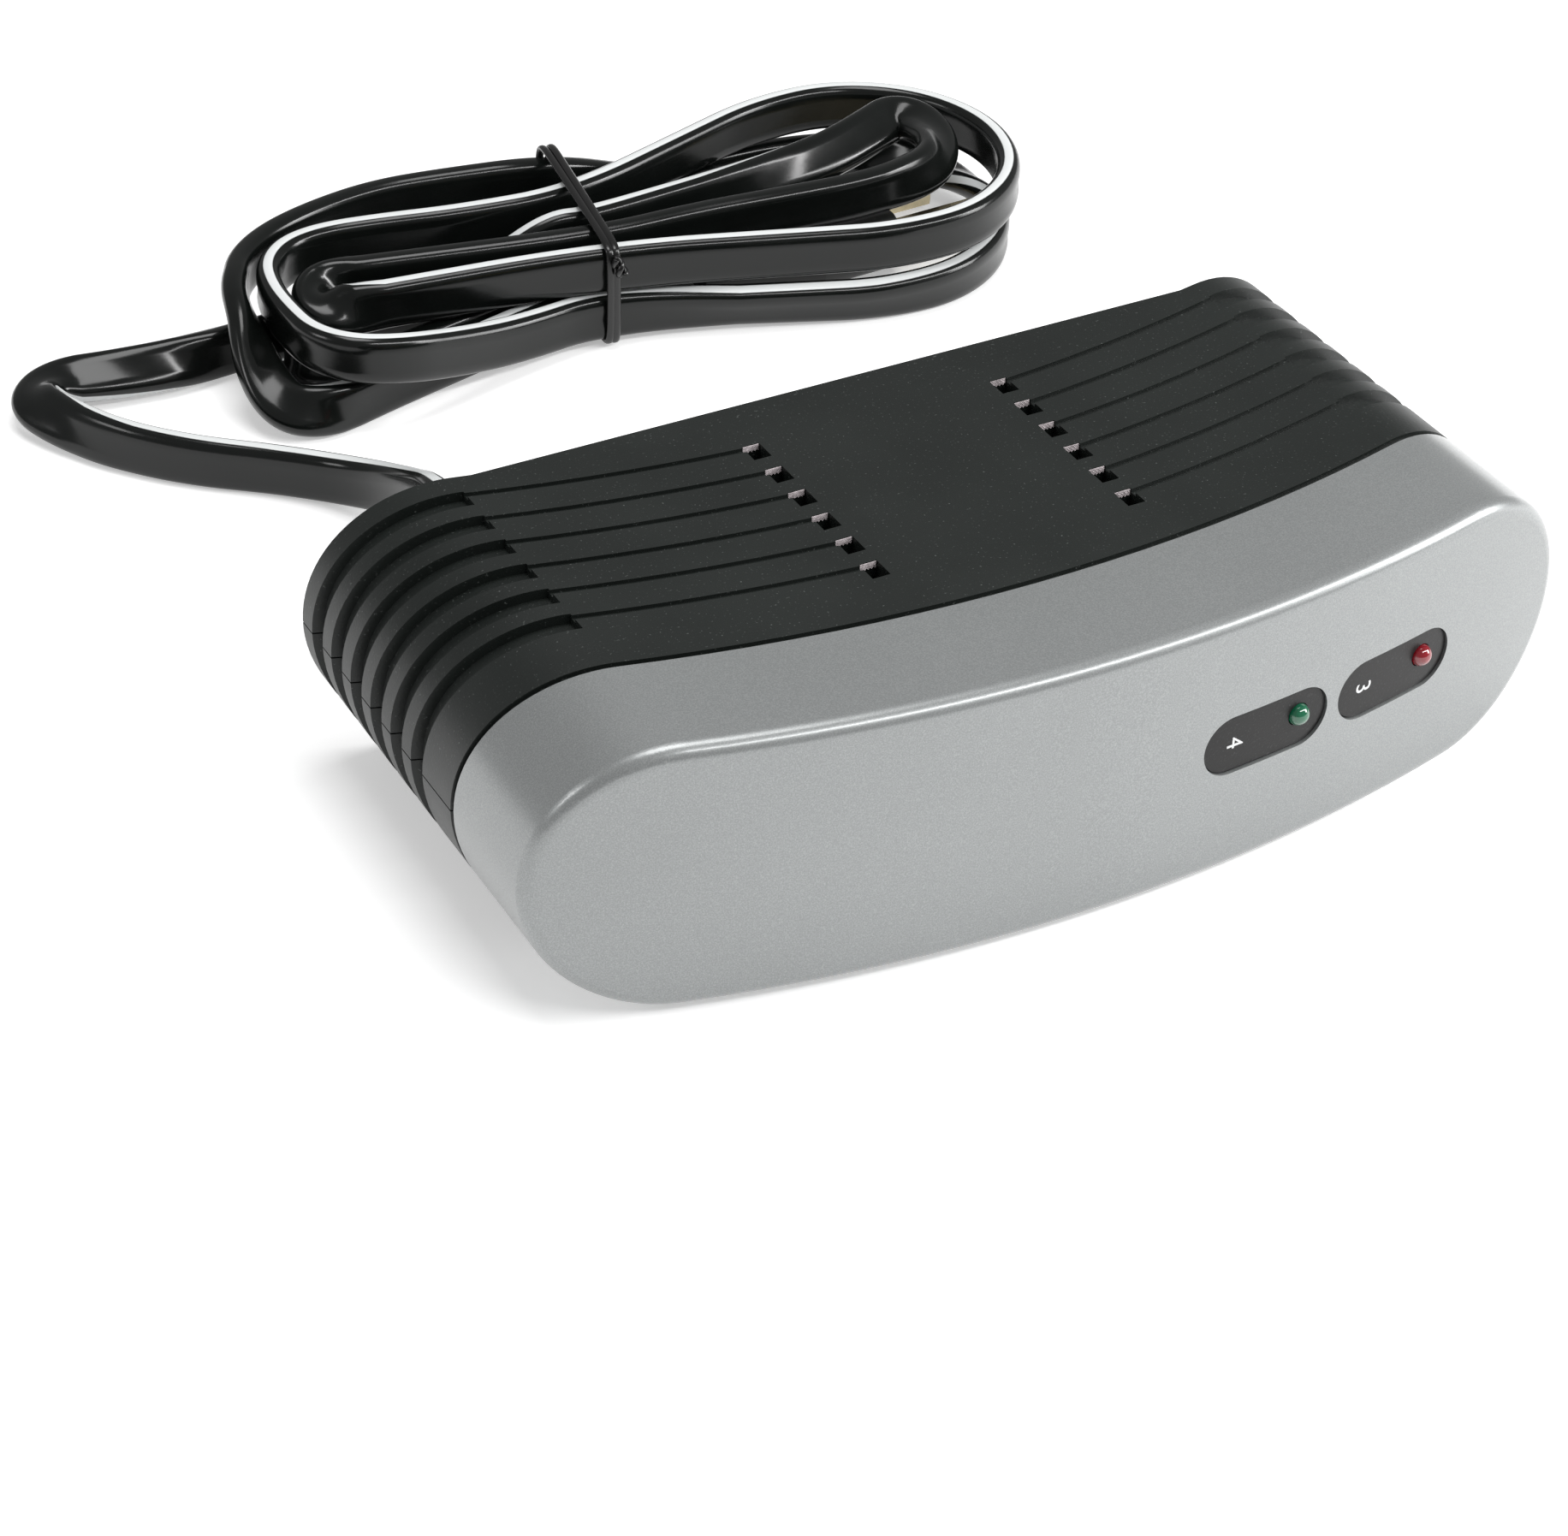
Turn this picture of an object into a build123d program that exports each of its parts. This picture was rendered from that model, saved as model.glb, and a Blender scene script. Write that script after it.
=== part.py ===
from build123d import *
import math
import os
import numpy as np

os.makedirs("parts", exist_ok=True)

# Driving sizes of the case, in millimetres. X is the width, the front faces -Y, Z is up.
case_width = 150.0
case_height = 38.5
foot_proud = 1.0
plan_radius = 228.0
rear_radius = 255.0
bezel_depth = 18.6
shell_depth = 47.3
tail_depth = 6.4
jack_reach = 9.2
wall = 2.4
end_wall = 3.4
bezel_wall = 2.2
front_edge_radius = 2.0
tail_step = 0.5
parting_gap = 0.2

# Ribs, slim grooves and vent holes of the black shells.
groove_count = 6
groove_pitch = 6.09
first_groove_line = 42.9
wide_groove_start = 56.0
wide_groove_width = 3.4
wide_groove_depth = 1.4
slim_groove_width = 1.0
slim_groove_depth = 0.5
slim_groove_shift = 0.9
vent_inner = 17.25
vent_width = 2.5
vent_length = 3.5
lip_depth = 0.55
lip_length = 0.9

# The bezel's rim slides into the shells.
rim_clearance = 0.15
rim_thickness = 1.2
rim_length = 4.0
rim_root = 3.0

# Indicator windows and lamps on the front.
window_length = 19.4
window_height = 8.4
window_inset = 0.4
window_flange = 0.8
window_z = 20.6
window_x = {"channel_4_window": 21.9, "channel_3_window": 43.5}
lamp_places = {"green_indicator": (27.2, 21.0), "red_indicator": (48.6, 21.1)}
lamp_radius = 1.5
lamp_proud = 1.0
indicator_board_y = -29.5

# Rear panel and what comes through it.
panel_thickness = 2.0
panel_half_width = 53.8
panel_half_height = 16.2
panel_outer_y_behind_tail = 1.25
jack_z = 26.5
phono_x = {"right_audio_jack": -30.0, "left_audio_jack": -16.0, "video_jack": -2.0}
aerial_x = {"antenna_jack": 25.0, "tv_jack": 40.0}
switch_x = 10.0
cord_x = -44.0
cord_z = 15.0
aerial_radius = 4.76
phono_radius = 4.15
shank_step = 0.2
sleeve_bore = 3.6
nut_height = 2.2
collar_height = 2.0
inside_top = 33.0
slider_travel = 2.6
slider_base = 5.6
slider_knob = 3.0
slider_play = 0.3

# Circuit board and screws.
board_z = 7.4
board_thickness = 1.6
board_half_width = 45.6
board_front_y = -15.5
board_back_y = 27.5
board_screw_places = [(-42.5, -11.0), (42.5, -11.0), (-42.5, 10.0), (12.0, 11.0)]
case_screw_places = [(-50.5, -6.5), (50.5, -6.5), (-50.5, 16.0), (50.5, 16.0)]
foot_places = [(-38.0, -9.0), (38.0, -9.0), (-38.0, 19.0), (38.0, 19.0)]
foot_radius = 5.0
foot_recess = 0.6

# Flat two-core cord, standing on its narrow edge.
cord_width = 7.6
cord_thick = 3.8
tube_diameter = 5.6
floor_z = 3.85
layer_step = 8.5
waist_x = 7.3
waist_y = 114.0
waist_slant = 0.16
waist_lift = 1.7

# Places that follow from the driving sizes.
half_width = case_width / 2
half_height = case_height / 2
middle_z = foot_proud + half_height
top_z = foot_proud + case_height
overall_depth = bezel_depth + shell_depth + tail_depth + jack_reach
front_y = -overall_depth / 2
seam_y = front_y + bezel_depth
rear_y = seam_y + shell_depth
tail_y = rear_y + tail_depth
jack_end_y = tail_y + jack_reach
panel_outer_y = tail_y - panel_outer_y_behind_tail
panel_inner_y = panel_outer_y - panel_thickness
board_top = board_z + board_thickness
plan_reach = half_width + 5
far = 200.0


def bow(x, middle_y, radius):
    """The y of a line that bows towards the front, at a distance x from the middle."""
    return middle_y + radius - math.sqrt(radius**2 - x**2)


def plan_between(near_y, near_radius, far_y, far_radius, x_low=-plan_reach, x_high=plan_reach):
    """Plan outline between two bowed lines, from x_low to x_high."""
    x_mid = (x_low + x_high) / 2

    def bowed_line(middle_y, radius):
        points = [(x, bow(x, middle_y, radius)) for x in (x_low, x_mid, x_high)]
        return ThreePointArc(*points)

    with BuildSketch() as outline:
        with BuildLine():
            near = bowed_line(near_y, near_radius)
            behind = bowed_line(far_y, far_radius)
            Line(near @ 0, behind @ 0)
            Line(near @ 1, behind @ 1)
        make_face()
    return outline.sketch


def slab_section(inset_z, inset_end):
    """Front view of the case, a slab with round ends, drawn in by the insets."""
    with BuildSketch(Plane.XZ) as section:
        with Locations((0, middle_z)):
            SlotOverall(case_width - 2 * inset_end, case_height - 2 * inset_z)
    return section.sketch


def case_slice(inset_z, inset_end, plan):
    """The slab, cut to a plan outline."""
    with BuildPart() as piece:
        extrude(slab_section(inset_z, inset_end), amount=far, both=True)
        extrude(plan, amount=far, both=True, mode=Mode.INTERSECT)
    return piece.part


def skin_slice(depth, plans):
    """What lies within a depth of the case's surface, inside the plan outlines."""
    with BuildPart() as piece:
        extrude(slab_section(-1, -1), amount=far, both=True)
        extrude(slab_section(depth, depth), amount=far, both=True, mode=Mode.SUBTRACT)
        with BuildSketch() as outlines:
            for plan in plans:
                add(plan)
        extrude(outlines.sketch, amount=far, both=True, mode=Mode.INTERSECT)
    return piece.part


def export(piece, name):
    """Label a finished piece and write it under its name."""
    piece.part.label = name
    export_step(piece.part, f"parts/{name}.step")


def bar(section, start_y, end_y, x, z):
    """Draw a section in front view at x, z and run it from start_y to end_y."""
    with BuildPart() as piece:
        with BuildSketch(Plane.XZ.offset(-start_y)):
            with Locations((x, z)):
                add(section)
        extrude(amount=start_y - end_y)
    return piece.part


def disc(radius):
    with BuildSketch() as section:
        Circle(radius)
    return section.sketch


def ring(outer, inner):
    with BuildSketch() as section:
        Circle(outer)
        Circle(inner, mode=Mode.SUBTRACT)
    return section.sketch


def pill(length, height):
    with BuildSketch() as section:
        SlotOverall(length, height)
    return section.sketch


def plate(width, height):
    with BuildSketch() as section:
        Rectangle(width, height)
    return section.sketch


def block(x_low, x_high, y_low, y_high, z_low, z_high):
    """A plain box between its low and high corners."""
    with BuildPart() as piece:
        with BuildSketch(Plane.XY.offset(z_low)):
            with Locations(((x_low + x_high) / 2, (y_low + y_high) / 2)):
                Rectangle(x_high - x_low, y_high - y_low)
        extrude(amount=z_high - z_low)
    return piece.part


def post(places, radius, z_low, z_high):
    """Upright round posts at the places, from z_low to z_high."""
    with BuildPart() as piece:
        with BuildSketch(Plane.XY.offset(z_low)):
            with Locations(*places):
                Circle(radius)
        extrude(amount=z_high - z_low)
    return piece.part


# Plan outlines of the grooves, on both sides of the case.
groove_lines = [seam_y + first_groove_line - k * groove_pitch for k in range(groove_count)]
wide_plans = []
slim_plans = []
for line_y in groove_lines:
    wide_middle = line_y - vent_length / 2
    wide_edges = (wide_middle - wide_groove_width / 2, wide_middle + wide_groove_width / 2)
    slim_middle = line_y - slim_groove_shift
    slim_edges = (slim_middle - slim_groove_width / 2, slim_middle + slim_groove_width / 2)
    for side in (-1, 1):
        wide_ends = sorted((side * wide_groove_start, side * (half_width + 1)))
        slim_ends = sorted((side * (vent_inner + vent_width - 0.2), side * (wide_groove_start + 0.2)))
        wide_plans.append(plan_between(wide_edges[0], plan_radius, wide_edges[1], plan_radius, *wide_ends))
        slim_plans.append(plan_between(slim_edges[0], plan_radius, slim_edges[1], plan_radius, *slim_ends))

wide_grooves = skin_slice(wide_groove_depth, wide_plans)
slim_grooves = skin_slice(slim_groove_depth, slim_plans)
lip_groove = skin_slice(lip_depth, [plan_between(seam_y - 1, plan_radius, seam_y + lip_length, plan_radius)])
opening_z = panel_half_height - 1.2
opening_x = panel_half_width - 1.3

with BuildPart() as shell:
    add(case_slice(0, 0, plan_between(seam_y, plan_radius, rear_y, rear_radius)))
    add(block(-55.5, 55.5, rear_y - 2, tail_y, foot_proud + tail_step, top_z - tail_step))
    hollow_plan = plan_between(seam_y - 2, plan_radius, rear_y - wall, rear_radius)
    add(case_slice(wall, end_wall, hollow_plan), mode=Mode.SUBTRACT)
    rear_opening = block(-opening_x, opening_x, 12, tail_y + 5, middle_z - opening_z, middle_z + opening_z)
    add(rear_opening, mode=Mode.SUBTRACT)
    panel_slot = block(
        -panel_half_width - 0.2,
        panel_half_width + 0.2,
        panel_inner_y - 0.1,
        panel_outer_y + 0.1,
        middle_z - panel_half_height - 0.2,
        middle_z + panel_half_height + 0.2,
    )
    add(panel_slot, mode=Mode.SUBTRACT)
    add(wide_grooves, mode=Mode.SUBTRACT)
    add(lip_groove, mode=Mode.SUBTRACT)

with BuildPart() as upper_shell:
    add(shell.part)
    split(bisect_by=Plane.XY.offset(middle_z + parting_gap / 2), keep=Keep.TOP)
    add(slim_grooves, mode=Mode.SUBTRACT)
    with BuildSketch(Plane.XY.offset(top_z + 1)):
        for line_y in groove_lines:
            for side in (-1, 1):
                vent_middle = side * (vent_inner + vent_width / 2)
                with Locations((vent_middle, bow(vent_middle, line_y, plan_radius) - vent_length / 2)):
                    Rectangle(vent_width, vent_length)
    extrude(amount=-(wall + 2), mode=Mode.SUBTRACT)
    add(post(case_screw_places, 3.2, middle_z + parting_gap / 2, top_z - wall + 0.2))
    add(post(case_screw_places, 1.35, middle_z - 1, middle_z + 11), mode=Mode.SUBTRACT)
export(upper_shell, "upper_shell")

with BuildPart() as lower_shell:
    add(shell.part)
    split(bisect_by=Plane.XY.offset(middle_z - parting_gap / 2), keep=Keep.BOTTOM)
    add(post(case_screw_places, 3.4, foot_proud + wall - 0.2, middle_z - parting_gap / 2))
    add(post(case_screw_places, 3.0, foot_proud - 1, foot_proud + 5.5), mode=Mode.SUBTRACT)
    add(post(case_screw_places, 4.4, foot_proud + 1.6, foot_proud + 7.0))
    add(post(case_screw_places, 3.0, foot_proud - 1, foot_proud + 5.5), mode=Mode.SUBTRACT)
    add(post(case_screw_places, 1.6, foot_proud, middle_z + 1), mode=Mode.SUBTRACT)
    add(post(board_screw_places, 2.6, foot_proud + wall - 0.2, board_z))
    add(post(board_screw_places, 1.25, foot_proud + wall, board_z + 1), mode=Mode.SUBTRACT)
    add(post(foot_places, foot_radius + 0.2, foot_proud - 1, foot_proud + foot_recess), mode=Mode.SUBTRACT)
export(lower_shell, "lower_shell")

# Silver front cap with its rim, window cut-outs and pegs for the indicator board.
rim_inset = wall + rim_clearance
rim_end_inset = end_wall + rim_clearance
peg_places = [(32.7, 13.0), (32.7, 28.6)]
with BuildPart() as front_bezel:
    add(case_slice(0, 0, plan_between(front_y, plan_radius, seam_y, plan_radius)))
    fillet(front_bezel.faces().sort_by(Axis.Y)[0].edges(), front_edge_radius)
    cap_hollow = plan_between(front_y + bezel_wall, plan_radius, seam_y - rim_root, plan_radius)
    add(case_slice(bezel_wall, bezel_wall, cap_hollow), mode=Mode.SUBTRACT)
    mouth = plan_between(seam_y - rim_root - 1, plan_radius, seam_y + 1, plan_radius)
    mouth_insets = (rim_inset + rim_thickness, rim_end_inset + rim_thickness)
    add(case_slice(*mouth_insets, mouth), mode=Mode.SUBTRACT)
    rim_plan = plan_between(seam_y - 1, plan_radius, seam_y + rim_length, plan_radius)
    rim = case_slice(rim_inset, rim_end_inset, rim_plan)
    rim_bore_plan = plan_between(seam_y - 2, plan_radius, seam_y + rim_length + 1, plan_radius)
    rim = rim - case_slice(*mouth_insets, rim_bore_plan)
    add(rim)
    for x in window_x.values():
        cut_out = pill(window_length + 0.3, window_height + 0.3)
        add(bar(cut_out, front_y - 5, front_y + 14, x, window_z), mode=Mode.SUBTRACT)
    for x, z in peg_places:
        add(bar(disc(1.6), bow(x, front_y, plan_radius) + 1, indicator_board_y, x, z))
export(front_bezel, "front_bezel")

# Dark windows set slightly into the face, each with a hole for its lamp.
for name, x in window_x.items():
    lamp_x, lamp_z = [place for place in lamp_places.values() if abs(place[0] - x) < window_length / 2][0]
    face_y = front_y + window_inset
    flange_y = front_y + bezel_wall + 0.1
    with BuildPart() as window:
        add(bar(pill(window_length, window_height), front_y - 5, front_y + 15, x, window_z))
        extrude(
            plan_between(face_y, plan_radius, flange_y + 0.5, plan_radius),
            amount=far,
            both=True,
            mode=Mode.INTERSECT,
        )
    with BuildPart() as flange:
        flange_outline = pill(window_length + 2 * window_flange, window_height + 2 * window_flange)
        add(bar(flange_outline, front_y - 5, front_y + 15, x, window_z))
        extrude(
            plan_between(flange_y, plan_radius, flange_y + 1.1, plan_radius),
            amount=far,
            both=True,
            mode=Mode.INTERSECT,
        )
    with BuildPart() as finished:
        add(window.part)
        add(flange.part)
        add(bar(disc(lamp_radius + 0.1), front_y - 5, front_y + 15, lamp_x, lamp_z), mode=Mode.SUBTRACT)
    export(finished, name)

# Lamps: a domed body with a flange and two legs that end in the indicator board.
for name, (x, z) in lamp_places.items():
    tip_y = bow(x, front_y, plan_radius) - lamp_proud
    flange_y = tip_y + 5.4
    with BuildPart() as lamp:
        add(bar(disc(lamp_radius), tip_y + lamp_radius, flange_y + 1.0, x, z))
        with Locations((x, tip_y + lamp_radius, z)):
            Sphere(lamp_radius)
        add(bar(disc(lamp_radius + 0.4), flange_y, flange_y + 1.0, x, z))
        for leg in (-1.27, 1.27):
            add(bar(plate(0.5, 0.5), flange_y + 0.9, indicator_board_y + 1.5, x + leg, z))
    export(lamp, name)

with BuildPart() as indicator_board:
    add(block(17, 56, indicator_board_y, indicator_board_y + 1.5, 10.5, 31.0))
    for x, z in lamp_places.values():
        for leg in (-1.27, 1.27):
            leg_hole = bar(plate(0.6, 0.6), indicator_board_y - 1, indicator_board_y + 2, x + leg, z)
            add(leg_hole, mode=Mode.SUBTRACT)
export(indicator_board, "indicator_board")

with BuildPart() as indicator_wires:
    for x in (24.0, 26.5, 29.0):
        with BuildLine() as wire_path:
            start = (x, indicator_board_y + 1.5, 13.5)
            FilletPolyline(start, (x, board_front_y + 2, 13.5), (x, board_front_y + 2, board_top), radius=2.5)
        with BuildSketch(Plane(origin=start, z_dir=(0, 1, 0))):
            Circle(0.6)
        sweep(path=wire_path.line)
export(indicator_wires, "indicator_wires")

# Rear panel, clamped between the shells.
with BuildPart() as rear_panel:
    add(bar(plate(2 * panel_half_width, 2 * panel_half_height), panel_inner_y, panel_outer_y, 0, middle_z))
    for x in phono_x.values():
        add(bar(disc(phono_radius + 0.3), panel_inner_y - 1, panel_outer_y + 1, x, jack_z), mode=Mode.SUBTRACT)
    for x in aerial_x.values():
        add(bar(disc(aerial_radius + 0.3), panel_inner_y - 1, panel_outer_y + 1, x, jack_z), mode=Mode.SUBTRACT)
    slot = plate(slider_knob + slider_travel + 2 * slider_play, 2.4 + 2 * slider_play)
    add(bar(slot, panel_inner_y - 1, panel_outer_y + 1, switch_x, jack_z), mode=Mode.SUBTRACT)
    add(bar(disc(4.6), panel_inner_y - 1, panel_outer_y + 1, cord_x, cord_z), mode=Mode.SUBTRACT)
export(rear_panel, "rear_panel")

# Circuit board and the parts that stand on it.
with BuildPart() as main_board:
    add(block(-board_half_width, board_half_width, board_front_y, board_back_y, board_z, board_top))
    add(post(board_screw_places, 1.5, board_z - 1, board_top + 1), mode=Mode.SUBTRACT)
export(main_board, "main_board")

can_wall = 0.5
can_box = (18.5, 46.0, 3.0, panel_inner_y - 0.4, board_top, inside_top)
with BuildPart() as rf_can:
    add(block(*can_box))
    inside = block(
        can_box[0] + can_wall,
        can_box[1] - can_wall,
        can_box[2] + can_wall,
        can_box[3] - can_wall,
        can_box[4] + can_wall,
        can_box[5] + 1,
    )
    add(inside, mode=Mode.SUBTRACT)
    for x in aerial_x.values():
        add(bar(disc(2.2), can_box[3] - 2, can_box[3] + 1, x, jack_z), mode=Mode.SUBTRACT)
export(rf_can, "rf_can")

with BuildPart() as rf_can_lid:
    lid_z = can_box[5]
    add(block(can_box[0] - 0.7, can_box[1] + 0.7, can_box[2] - 0.7, can_box[3], lid_z, lid_z + 0.5))
    add(block(can_box[0] - 0.7, can_box[0] - 0.2, can_box[2] - 0.7, can_box[3], lid_z - 4, lid_z))
    add(block(can_box[1] + 0.2, can_box[1] + 0.7, can_box[2] - 0.7, can_box[3], lid_z - 4, lid_z))
    add(block(can_box[0] - 0.7, can_box[1] + 0.7, can_box[2] - 0.7, can_box[2] - 0.2, lid_z - 4, lid_z))
export(rf_can_lid, "rf_can_lid")

with BuildPart() as modulator_chip:
    chip_z = can_box[4] + can_wall
    add(block(26, 36, 8, 14, chip_z + 0.4, chip_z + 3.0))
    for k in range(6):
        pin_x = 27 + k * 1.6
        add(block(pin_x, pin_x + 0.6, 6.8, 15.2, chip_z, chip_z + 1.2))
export(modulator_chip, "modulator_chip")

with BuildPart() as tuned_coils:
    coil_places = [(22.5, 18.0), (32.5, 19.5), (42.0, 12.0)]
    add(post(coil_places, 2.6, can_box[4] + can_wall, can_box[4] + 7.5))
    add(post(coil_places, 1.0, can_box[4] + 5.5, can_box[4] + 8), mode=Mode.SUBTRACT)
export(tuned_coils, "tuned_coils")

# Aerial jacks: a threaded barrel with an insulator inside and a hexagon nut outside.
for name, x in aerial_x.items():
    free_end_y = panel_outer_y + nut_height + 0.35
    with BuildPart() as barrel:
        add(bar(ring(aerial_radius - shank_step, 3.3), can_box[3], free_end_y, x, jack_z))
        add(bar(ring(aerial_radius, 3.3), free_end_y, jack_end_y, x, jack_z))
    export(barrel, name)
    with BuildPart() as insulator:
        add(bar(ring(3.25, 0.7), can_box[3], jack_end_y - 0.6, x, jack_z))
    export(insulator, f"{name}_insulator")
    with BuildPart() as nut:
        with BuildSketch(Plane.XZ.offset(-(panel_outer_y + 0.05))):
            with Locations((x, jack_z)):
                RegularPolygon(5.5, 6, major_radius=False)
                Circle(aerial_radius + 0.04, mode=Mode.SUBTRACT)
        extrude(amount=-nut_height)
    export(nut, f"{name}_nut")

# Phono jacks: a metal sleeve, a coloured insert and a coloured collar on the panel.
for name, x in phono_x.items():
    sleeve_end = panel_outer_y + 9.0
    free_end_y = panel_outer_y + collar_height + 0.2
    with BuildPart() as sleeve:
        add(bar(ring(phono_radius - shank_step, sleeve_bore), panel_inner_y - 0.1, free_end_y, x, jack_z))
        add(bar(ring(phono_radius, sleeve_bore), free_end_y, sleeve_end, x, jack_z))
    export(sleeve, name)
    with BuildPart() as insert:
        add(bar(ring(sleeve_bore - 0.05, 1.6), panel_inner_y - 0.1, sleeve_end - 0.4, x, jack_z))
    export(insert, f"{name}_insert")
    with BuildPart() as collar:
        add(bar(ring(6.2, phono_radius + 0.05), panel_outer_y + 0.05, panel_outer_y + collar_height, x, jack_z))
    export(collar, f"{name}_collar")

with BuildPart() as jack_block:
    add(block(-37.0, 4.0, 16.5, panel_inner_y - 0.1, board_top, inside_top))
    fillet(jack_block.edges().filter_by(Axis.X), 0.8)
export(jack_block, "jack_block")

# Channel switch: a hollow body behind the panel and a slider with its knob.
switch_back_y = panel_inner_y - 8.1
switch_front_y = panel_inner_y - 0.1
pocket_length = slider_base + slider_travel + 2 * slider_play
with BuildPart() as channel_switch_body:
    add(bar(plate(11.4, 8.4), switch_back_y, switch_front_y, switch_x, jack_z))
    add(bar(plate(pocket_length, 4.8), switch_front_y - 1.9, switch_front_y + 1, switch_x, jack_z), mode=Mode.SUBTRACT)
    for pin_x in (-3.0, 0.0, 3.0):
        add(block(switch_x + pin_x - 0.4, switch_x + pin_x + 0.4, 22.0, 22.8, board_top, jack_z - 4.0))
export(channel_switch_body, "channel_switch_body")

slider_rest_x = switch_x - slider_travel / 2
with BuildPart() as channel_switch_slider:
    add(bar(plate(slider_base, 4.2), switch_front_y - 1.6, switch_front_y - 0.2, slider_rest_x, jack_z))
    add(bar(plate(slider_knob, 2.4), switch_front_y - 0.3, panel_outer_y + 2.6, slider_rest_x, jack_z))
    knob_end = channel_switch_slider.faces().sort_by(Axis.Y)[-1]
    chamfer(knob_end.edges(), 0.3)
export(channel_switch_slider, "channel_switch_slider")

# Mains transformer: laminated core, bobbin and winding round the centre limb.
core_x = -26.0
core_y = -2.0
core_z = board_top + 12.1
with BuildPart() as transformer_core:
    add(bar(plate(28, 24), core_y - 7, core_y + 7, core_x, core_z))
    for side in (-1, 1):
        add(bar(plate(6, 16), core_y - 8, core_y + 8, core_x + side * 7, core_z), mode=Mode.SUBTRACT)
export(transformer_core, "transformer_core")


def frame_round_limb(outer_x, outer_y, inner_x, inner_y, z_low, z_high):
    """A square ring round the core's centre limb, given by its half widths."""
    with BuildPart() as piece:
        add(block(core_x - outer_x, core_x + outer_x, core_y - outer_y, core_y + outer_y, z_low, z_high))
        hole = block(core_x - inner_x, core_x + inner_x, core_y - inner_y, core_y + inner_y, z_low - 1, z_high + 1)
        add(hole, mode=Mode.SUBTRACT)
    return piece.part


bobbin_low = core_z - 7.8
bobbin_high = core_z + 7.8
with BuildPart() as transformer_bobbin:
    add(frame_round_limb(4.7, 7.7, 4.2, 7.2, bobbin_low, bobbin_high))
    add(frame_round_limb(9.8, 12.8, 4.2, 7.2, bobbin_low, bobbin_low + 0.8))
    add(frame_round_limb(9.8, 12.8, 4.2, 7.2, bobbin_high - 0.8, bobbin_high))
export(transformer_bobbin, "transformer_bobbin")

with BuildPart() as transformer_winding:
    add(frame_round_limb(9.3, 12.2, 4.75, 7.75, bobbin_low + 0.85, bobbin_high - 0.85))
export(transformer_winding, "transformer_winding")

with BuildPart() as filter_capacitors:
    add(post([(-4.5, -8.5), (7.5, -8.5)], 4.8, board_top, board_top + 13))
    add(post([(0.0, 3.0)], 3.0, board_top, board_top + 9))
    fillet(filter_capacitors.faces().filter_by(Axis.Z).group_by(Axis.Z)[-1].edges(), 0.8)
export(filter_capacitors, "filter_capacitors")

with BuildPart() as heat_sink:
    add(block(18, 36, -8.0, -6.4, board_top, board_top + 18))
    for k in range(5):
        fin_x = 18 + k * 4.1
        add(block(fin_x, fin_x + 1.6, -6.5, -1.0, board_top, board_top + 18))
export(heat_sink, "heat_sink")

with BuildPart() as voltage_regulator:
    add(block(22, 32, -12.6, -9.3, board_top + 4, board_top + 13))
    add(block(22, 32, -9.4, -8.1, board_top + 4, board_top + 19.5))
    for leg_x in (24.3, 26.8, 29.3):
        add(block(leg_x, leg_x + 0.8, -10.8, -10.2, board_top, board_top + 4.1))
export(voltage_regulator, "voltage_regulator")

# Screws and feet, each kind one group of separate solids.
with BuildPart() as case_screws:
    add(post(case_screw_places, 2.6, foot_proud + 3.7, foot_proud + 5.5))
    add(post(case_screw_places, 1.3, foot_proud + 5.4, middle_z + 9))
    with BuildSketch(Plane.XY.offset(foot_proud + 3.7)):
        with Locations(*case_screw_places):
            Rectangle(3.2, 0.7)
            Rectangle(0.7, 3.2)
    extrude(amount=0.9, mode=Mode.SUBTRACT)
export(case_screws, "case_screws")

with BuildPart() as board_screws:
    add(post(board_screw_places, 2.4, board_top, board_top + 1.5))
    add(post(board_screw_places, 1.2, foot_proud + wall + 0.2, board_top + 0.1))
    with BuildSketch(Plane.XY.offset(board_top + 1.5)):
        with Locations(*board_screw_places):
            Rectangle(3.0, 0.6)
            Rectangle(0.6, 3.0)
    extrude(amount=-0.7, mode=Mode.SUBTRACT)
export(board_screws, "board_screws")

with BuildPart() as rubber_feet:
    add(post(foot_places, foot_radius, 0, foot_proud + foot_recess))
    fillet(rubber_feet.faces().filter_by(Axis.Z).group_by(Axis.Z)[0].edges(), 0.4)
export(rubber_feet, "rubber_feet")

# Cord entry: a tapered strain relief with a neck in the panel and a flange inside.
relief_length = 22.0
relief_end_y = panel_outer_y + relief_length
with BuildPart() as strain_relief:
    with BuildSketch(Plane.XZ.offset(-panel_outer_y - 0.1)):
        with Locations((cord_x, cord_z)):
            Circle(5.6)
    with BuildSketch(Plane.XZ.offset(-relief_end_y)):
        with Locations((cord_x, cord_z)):
            Circle(3.6)
    loft()
    add(bar(disc(4.5), panel_inner_y - 0.2, panel_outer_y + 0.2, cord_x, cord_z))
    add(bar(disc(5.6), panel_inner_y - 2.2, panel_inner_y - 0.1, cord_x, cord_z))
export(strain_relief, "strain_relief")

with BuildPart() as mains_wires:
    for rise in (-1.5, 1.5):
        with BuildLine() as wire_path:
            wire_points = [
                (cord_x, panel_inner_y - 2.2, cord_z + rise),
                (cord_x, panel_inner_y - 8.0, cord_z + rise),
                (cord_x, 13.6, 18.0 + rise),
                (core_x - 5.0, 13.6, 21.0 + rise),
                (core_x - 5.0, core_y + 12.2, 21.0 + rise),
            ]
            FilletPolyline(*wire_points, radius=2.4)
        with BuildSketch(Plane(origin=wire_points[0], z_dir=(0, -1, 0))):
            Circle(0.9)
        sweep(path=wire_path.line)
export(mains_wires, "mains_wires")


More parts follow.
